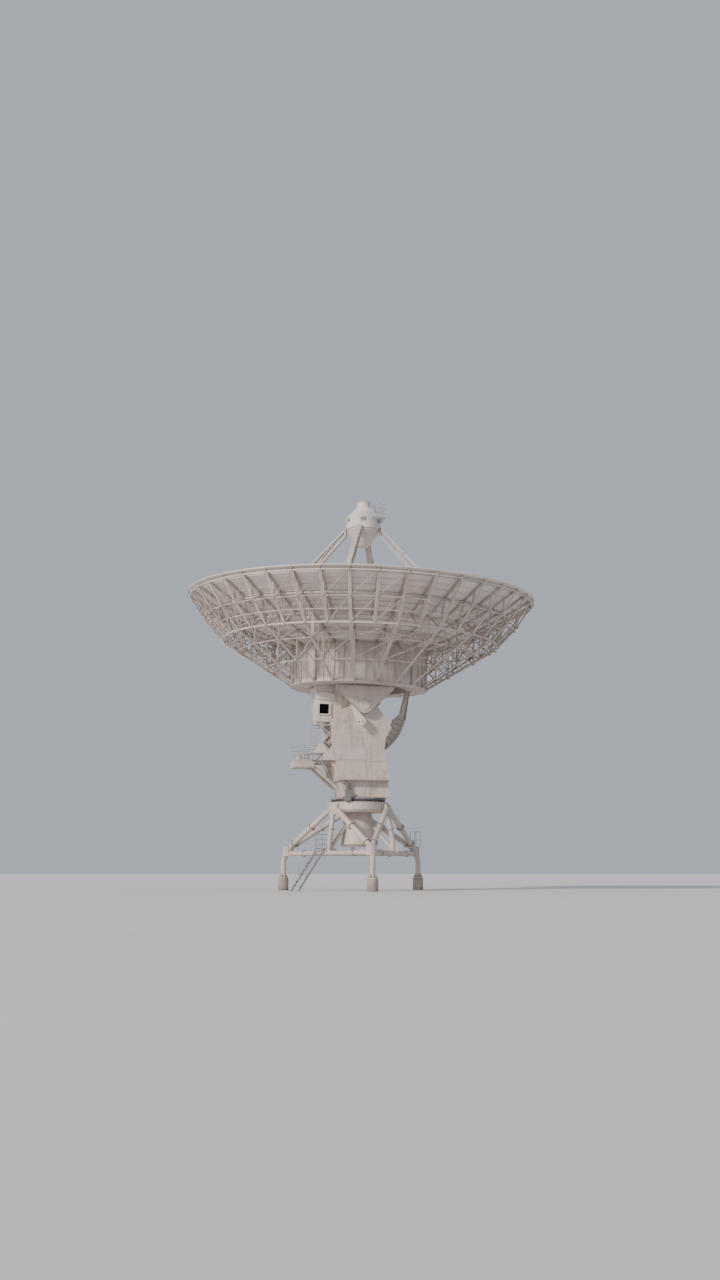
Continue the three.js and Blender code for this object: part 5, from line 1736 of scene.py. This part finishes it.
def access_stair(rail):
    """Channel stringers from the landing to the ground, grated treads, and two rails each side."""
    # It starts at an x, goes out by its run and down by its height, and has its middle at a y.
    start, run, height, y, width = 2.95, 2.24, 2.86, -0.68, 0.86
    upper, lower = start + 0.06, start + run - 0.12
    slope = [
        (start, height - 0.02), (start, height - 0.28), (start + run - 0.2, 0.0), (start + run, 0)]
    flanges = (((start, height - 0.012), (start + run - 0.02, 0.012)),
               ((start, height - 0.27), (start + run - 0.21, 0.012)))
    handrail = [
        (upper, height - 0.05), (upper, height + 0.86), (start + 0.1, height + 0.92),
        (start + run - 0.2, 1.13), (lower, 1.02), (lower, 0.06)]
    posts = [(start + run * share, height * (1 - share)) for share in (0.35, 0.68)]
    parts = []
    for side in (-1, 1):
        edge = y + side * (width / 2 - 0.025)
        parts.append(prism(slope, edge - 0.012, edge + 0.012))
        for a, b in flanges:
            parts.append(bars([[(a[0], edge, a[1]), (b[0], edge, b[1])]], rectangle(0.06, 0.012)))
        parts.append(pipe([(x, edge, z) for x, z in handrail], rail / 2, 12))
        knee_rail = [[(upper, edge, height + 0.42), (lower, edge, 0.56)]]
        parts.append(tubes(knee_rail, rail / 2.4, 10))
        parts.append(tubes([[(x, edge, z), (x, edge, z + 0.98)] for x, z in posts], rail / 2.2, 10))
    half = width / 2 - 0.04
    for share in np.arange(1, 11) / 11:
        x, z = start + run * share, height * (1 - share)
        parts.append(grating((x - 0.21, y - half), (x - 0.01, y + half), z, 0.035, 0.06))
    return joined(*parts)


def landing(rail):
    """The landing's frame and grating, with a guard rail on two sides."""
    inner, outer, near, far, foot, top, beam = 1.75, 2.95, -1.11, -0.25, 2.782, 2.855, 0.04
    steel = blocks([
        [(inner, near, foot), (outer, near + beam, top)],
        [(inner, far - beam, foot), (outer, far, top)],
        [(inner, near, foot), (inner + beam, far, top)],
        [(outer - beam, near, foot), (outer, far, top)],
        [(2.3, near, foot), (2.34, far, 2.84)]])
    floor = grating((inner + beam, near + beam), (outer - beam, far - beam), 2.86, 0.03, 0.06)
    line = near + 0.03
    corners = [(1.78, far - 0.03), (1.78, line), (2.35, line), (2.91, line)]
    rails = railing(corners, (3.2, 3.55, 3.91), 2.84, 3.91, rail / 2, kick=0.1)
    return joined(steel, floor, rails)


class TELESCOPE_OT_piers(bpy.types.Operator):
    """Build the concrete piers and the corner legs that are bolted to them"""
    bl_idname = "telescope.piers"
    bl_label = "Piers and corner legs"

    def execute(self, context):
        sizes = context.scene.telescope_sizes
        leg, heads = corner_leg(sizes.bolt)
        for name, degrees in CORNER_ANGLES.items():
            turn = math.radians(degrees)
            foot, steel, bolts_on = around(pier(), turn), around(leg, turn), around(heads, turn)
            build(f"concrete_pier_{name}", foot, "cast concrete", "pedestal", [f"pier_{name}"])
            build(f"leg_pipe_{name}", steel, "structure paint", "pedestal", [f"corner_leg_{name}"])
            build(f"leg_bolts_{name}", bolts_on, "plated bolts", "pedestal")
        return {"FINISHED"}


class TELESCOPE_OT_pedestal(bpy.types.Operator):
    """Build the pedestal's pipes with their bolted joints, the ring and the core"""
    bl_idname = "telescope.pedestal"
    bl_label = "Pedestal frame"

    def execute(self, context):
        sizes = context.scene.telescope_sizes
        paint = "structure paint"
        pipes, heads = bay_pipes(sizes.bolt)
        kinds = ("beam", "middle_post", "strut_left", "strut_right")
        for name, degrees in BAY_ANGLES.items():
            turn = math.radians(degrees)
            nodes = [f"{kind}_{name}_side" for kind in kinds]
            build(f"bay_pipes_{name}", around(pipes, turn), paint, "pedestal", nodes)
            build(f"bay_bolts_{name}", around(heads, turn), "plated bolts", "pedestal")
        guard = around(knuckle_guard(sizes.handrail), math.radians(CORNER_ANGLES["front"]))
        build("knuckle_guard", guard, "galvanised steel", "pedestal")
        build("ring_drum", ring_drum(), paint, "pedestal", ["support_ring"])
        build("core_cone", core_cone(), paint, "pedestal", ["pedestal_core"])
        return {"FINISHED"}


class TELESCOPE_OT_stair(bpy.types.Operator):
    """Build the access stair and its landing"""
    bl_idname = "telescope.stair"
    bl_label = "Access stair"

    def execute(self, context):
        rail = context.scene.telescope_sizes.handrail
        turn = math.radians(BAY_ANGLES["stair"])
        stair, floor = around(access_stair(rail), turn), around(landing(rail), turn)
        build("stair", stair, "galvanised steel", "pedestal", ["access_stair"])
        build("landing", floor, "galvanised steel", "pedestal", ["stair_landing"])
        return {"FINISHED"}


# Floor, light and camera

class TELESCOPE_OT_stage(bpy.types.Operator):
    """Lay the pale floor and set the soft light and the camera"""
    bl_idname = "telescope.stage"
    bl_label = "Stage"

    def execute(self, context):
        scene = context.scene
        colour = (*scene.telescope_colours.floor, 1.0)
        darker = tuple(0.96 * part for part in colour[:3]) + (1.0,)
        # A smooth matt floor with barely visible clouds, 6 m wide.
        floor_finish = layered("pale floor", colour, [(darker, 1.0, 6000, 1, 0.3, 0.7, 0)], 0.85)
        mesh = bpy.data.meshes.new("floor")
        reach = 900
        corners = [(-reach, -reach, 0), (reach, -reach, 0), (reach, reach, 0), (-reach, reach, 0)]
        mesh.from_pydata(corners, [], [(0, 1, 2, 3)])
        mesh.materials.append(floor_finish)
        floor = bpy.data.objects.new("floor", mesh)
        floor.location.z = -0.002
        scene.collection.objects.link(floor)
        world = bpy.data.worlds.new("studio")
        world.use_nodes = True
        backdrop = world.node_tree.nodes["Background"]
        backdrop.inputs["Color"].default_value = linear("#c3c9d6")
        backdrop.inputs["Strength"].default_value = 0.85
        scene.world = world
        self.sun(scene, "key", (-0.7, -0.5, 0.45), 3.4, 8, "#fff0e6")
        self.sun(scene, "low_fill", (-0.85, -0.45, 0.10), 0.5, 25, "#ffdcd2")
        lens = bpy.data.cameras.new("camera")
        lens.sensor_width = 36
        lens.lens = 42.19
        lens.clip_end = 3000
        camera = bpy.data.objects.new("camera", lens)
        scene.collection.objects.link(camera)
        # The photo's own view: how far round, how steeply up, how far off, how high, how far right.
        azimuth, pitch, distance = math.radians(-10), math.radians(8.79), 107.0
        eye_height, shift = 1.3, 0.14
        back = Vector((math.sin(azimuth), -math.cos(azimuth), 0))
        right = Vector((math.cos(azimuth), math.sin(azimuth), 0))
        camera.location = Vector((AXIS_X, 0, eye_height)) + back * distance + right * shift
        ahead = -back * math.cos(pitch) + Vector((0, 0, math.sin(pitch)))
        camera.rotation_euler = ahead.to_track_quat("-Z", "Y").to_euler()
        scene.camera = camera
        return {"FINISHED"}

    def sun(self, scene, name, towards, strength, softness, colour):
        """A light from a direction, as soft as its angle in degrees."""
        light = bpy.data.lights.new(name, "SUN")
        light.energy = strength
        light.angle = math.radians(softness)
        light.color = linear(colour)[:3]
        lamp = bpy.data.objects.new(name, light)
        lamp.rotation_euler = Vector(towards).to_track_quat("Z", "Y").to_euler()
        scene.collection.objects.link(lamp)


class TELESCOPE_PT_pieces(bpy.types.Panel):
    """Lists the sizes, the colours and the pieces"""
    bl_idname = "TELESCOPE_PT_pieces"
    bl_label = "Telescope"
    bl_space_type = "VIEW_3D"
    bl_region_type = "UI"
    bl_category = "Telescope"

    def draw(self, context):
        for group in (context.scene.telescope_sizes, context.scene.telescope_colours):
            for name in group.__annotations__:
                self.layout.prop(group, name)
        for operator in OPERATORS:
            self.layout.operator(operator.bl_idname)


OPERATORS = (
    TELESCOPE_OT_stage, TELESCOPE_OT_piers, TELESCOPE_OT_pedestal, TELESCOPE_OT_stair,
    TELESCOPE_OT_base, TELESCOPE_OT_arms, TELESCOPE_OT_platform, TELESCOPE_OT_tipping_gear,
    TELESCOPE_OT_room, TELESCOPE_OT_hub, TELESCOPE_OT_ribs, TELESCOPE_OT_reflector,
    TELESCOPE_OT_feeds, TELESCOPE_OT_apex,
)
CLASSES = (TelescopeSizes, TelescopeColours, *OPERATORS, TELESCOPE_PT_pieces)


def register():
    """Registers every class and hangs both property groups on the scene."""
    for item in CLASSES:
        bpy.utils.register_class(item)
    bpy.types.Scene.telescope_sizes = PointerProperty(type=TelescopeSizes)
    bpy.types.Scene.telescope_colours = PointerProperty(type=TelescopeColours)


def unregister():
    """Takes away what register adds."""
    del bpy.types.Scene.telescope_colours
    del bpy.types.Scene.telescope_sizes
    for item in reversed(CLASSES):
        bpy.utils.unregister_class(item)


def main():
    """Registers the classes and builds everything in order."""
    register()
    bpy.ops.telescope.stage()
    bpy.ops.telescope.piers()
    bpy.ops.telescope.pedestal()
    bpy.ops.telescope.stair()
    bpy.ops.telescope.base()
    bpy.ops.telescope.arms()
    bpy.ops.telescope.platform()
    bpy.ops.telescope.tipping_gear()
    bpy.ops.telescope.room()
    bpy.ops.telescope.hub()
    bpy.ops.telescope.ribs()
    bpy.ops.telescope.reflector()
    bpy.ops.telescope.feeds()
    bpy.ops.telescope.apex()
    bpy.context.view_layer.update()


if __name__ == "__main__":
    main()
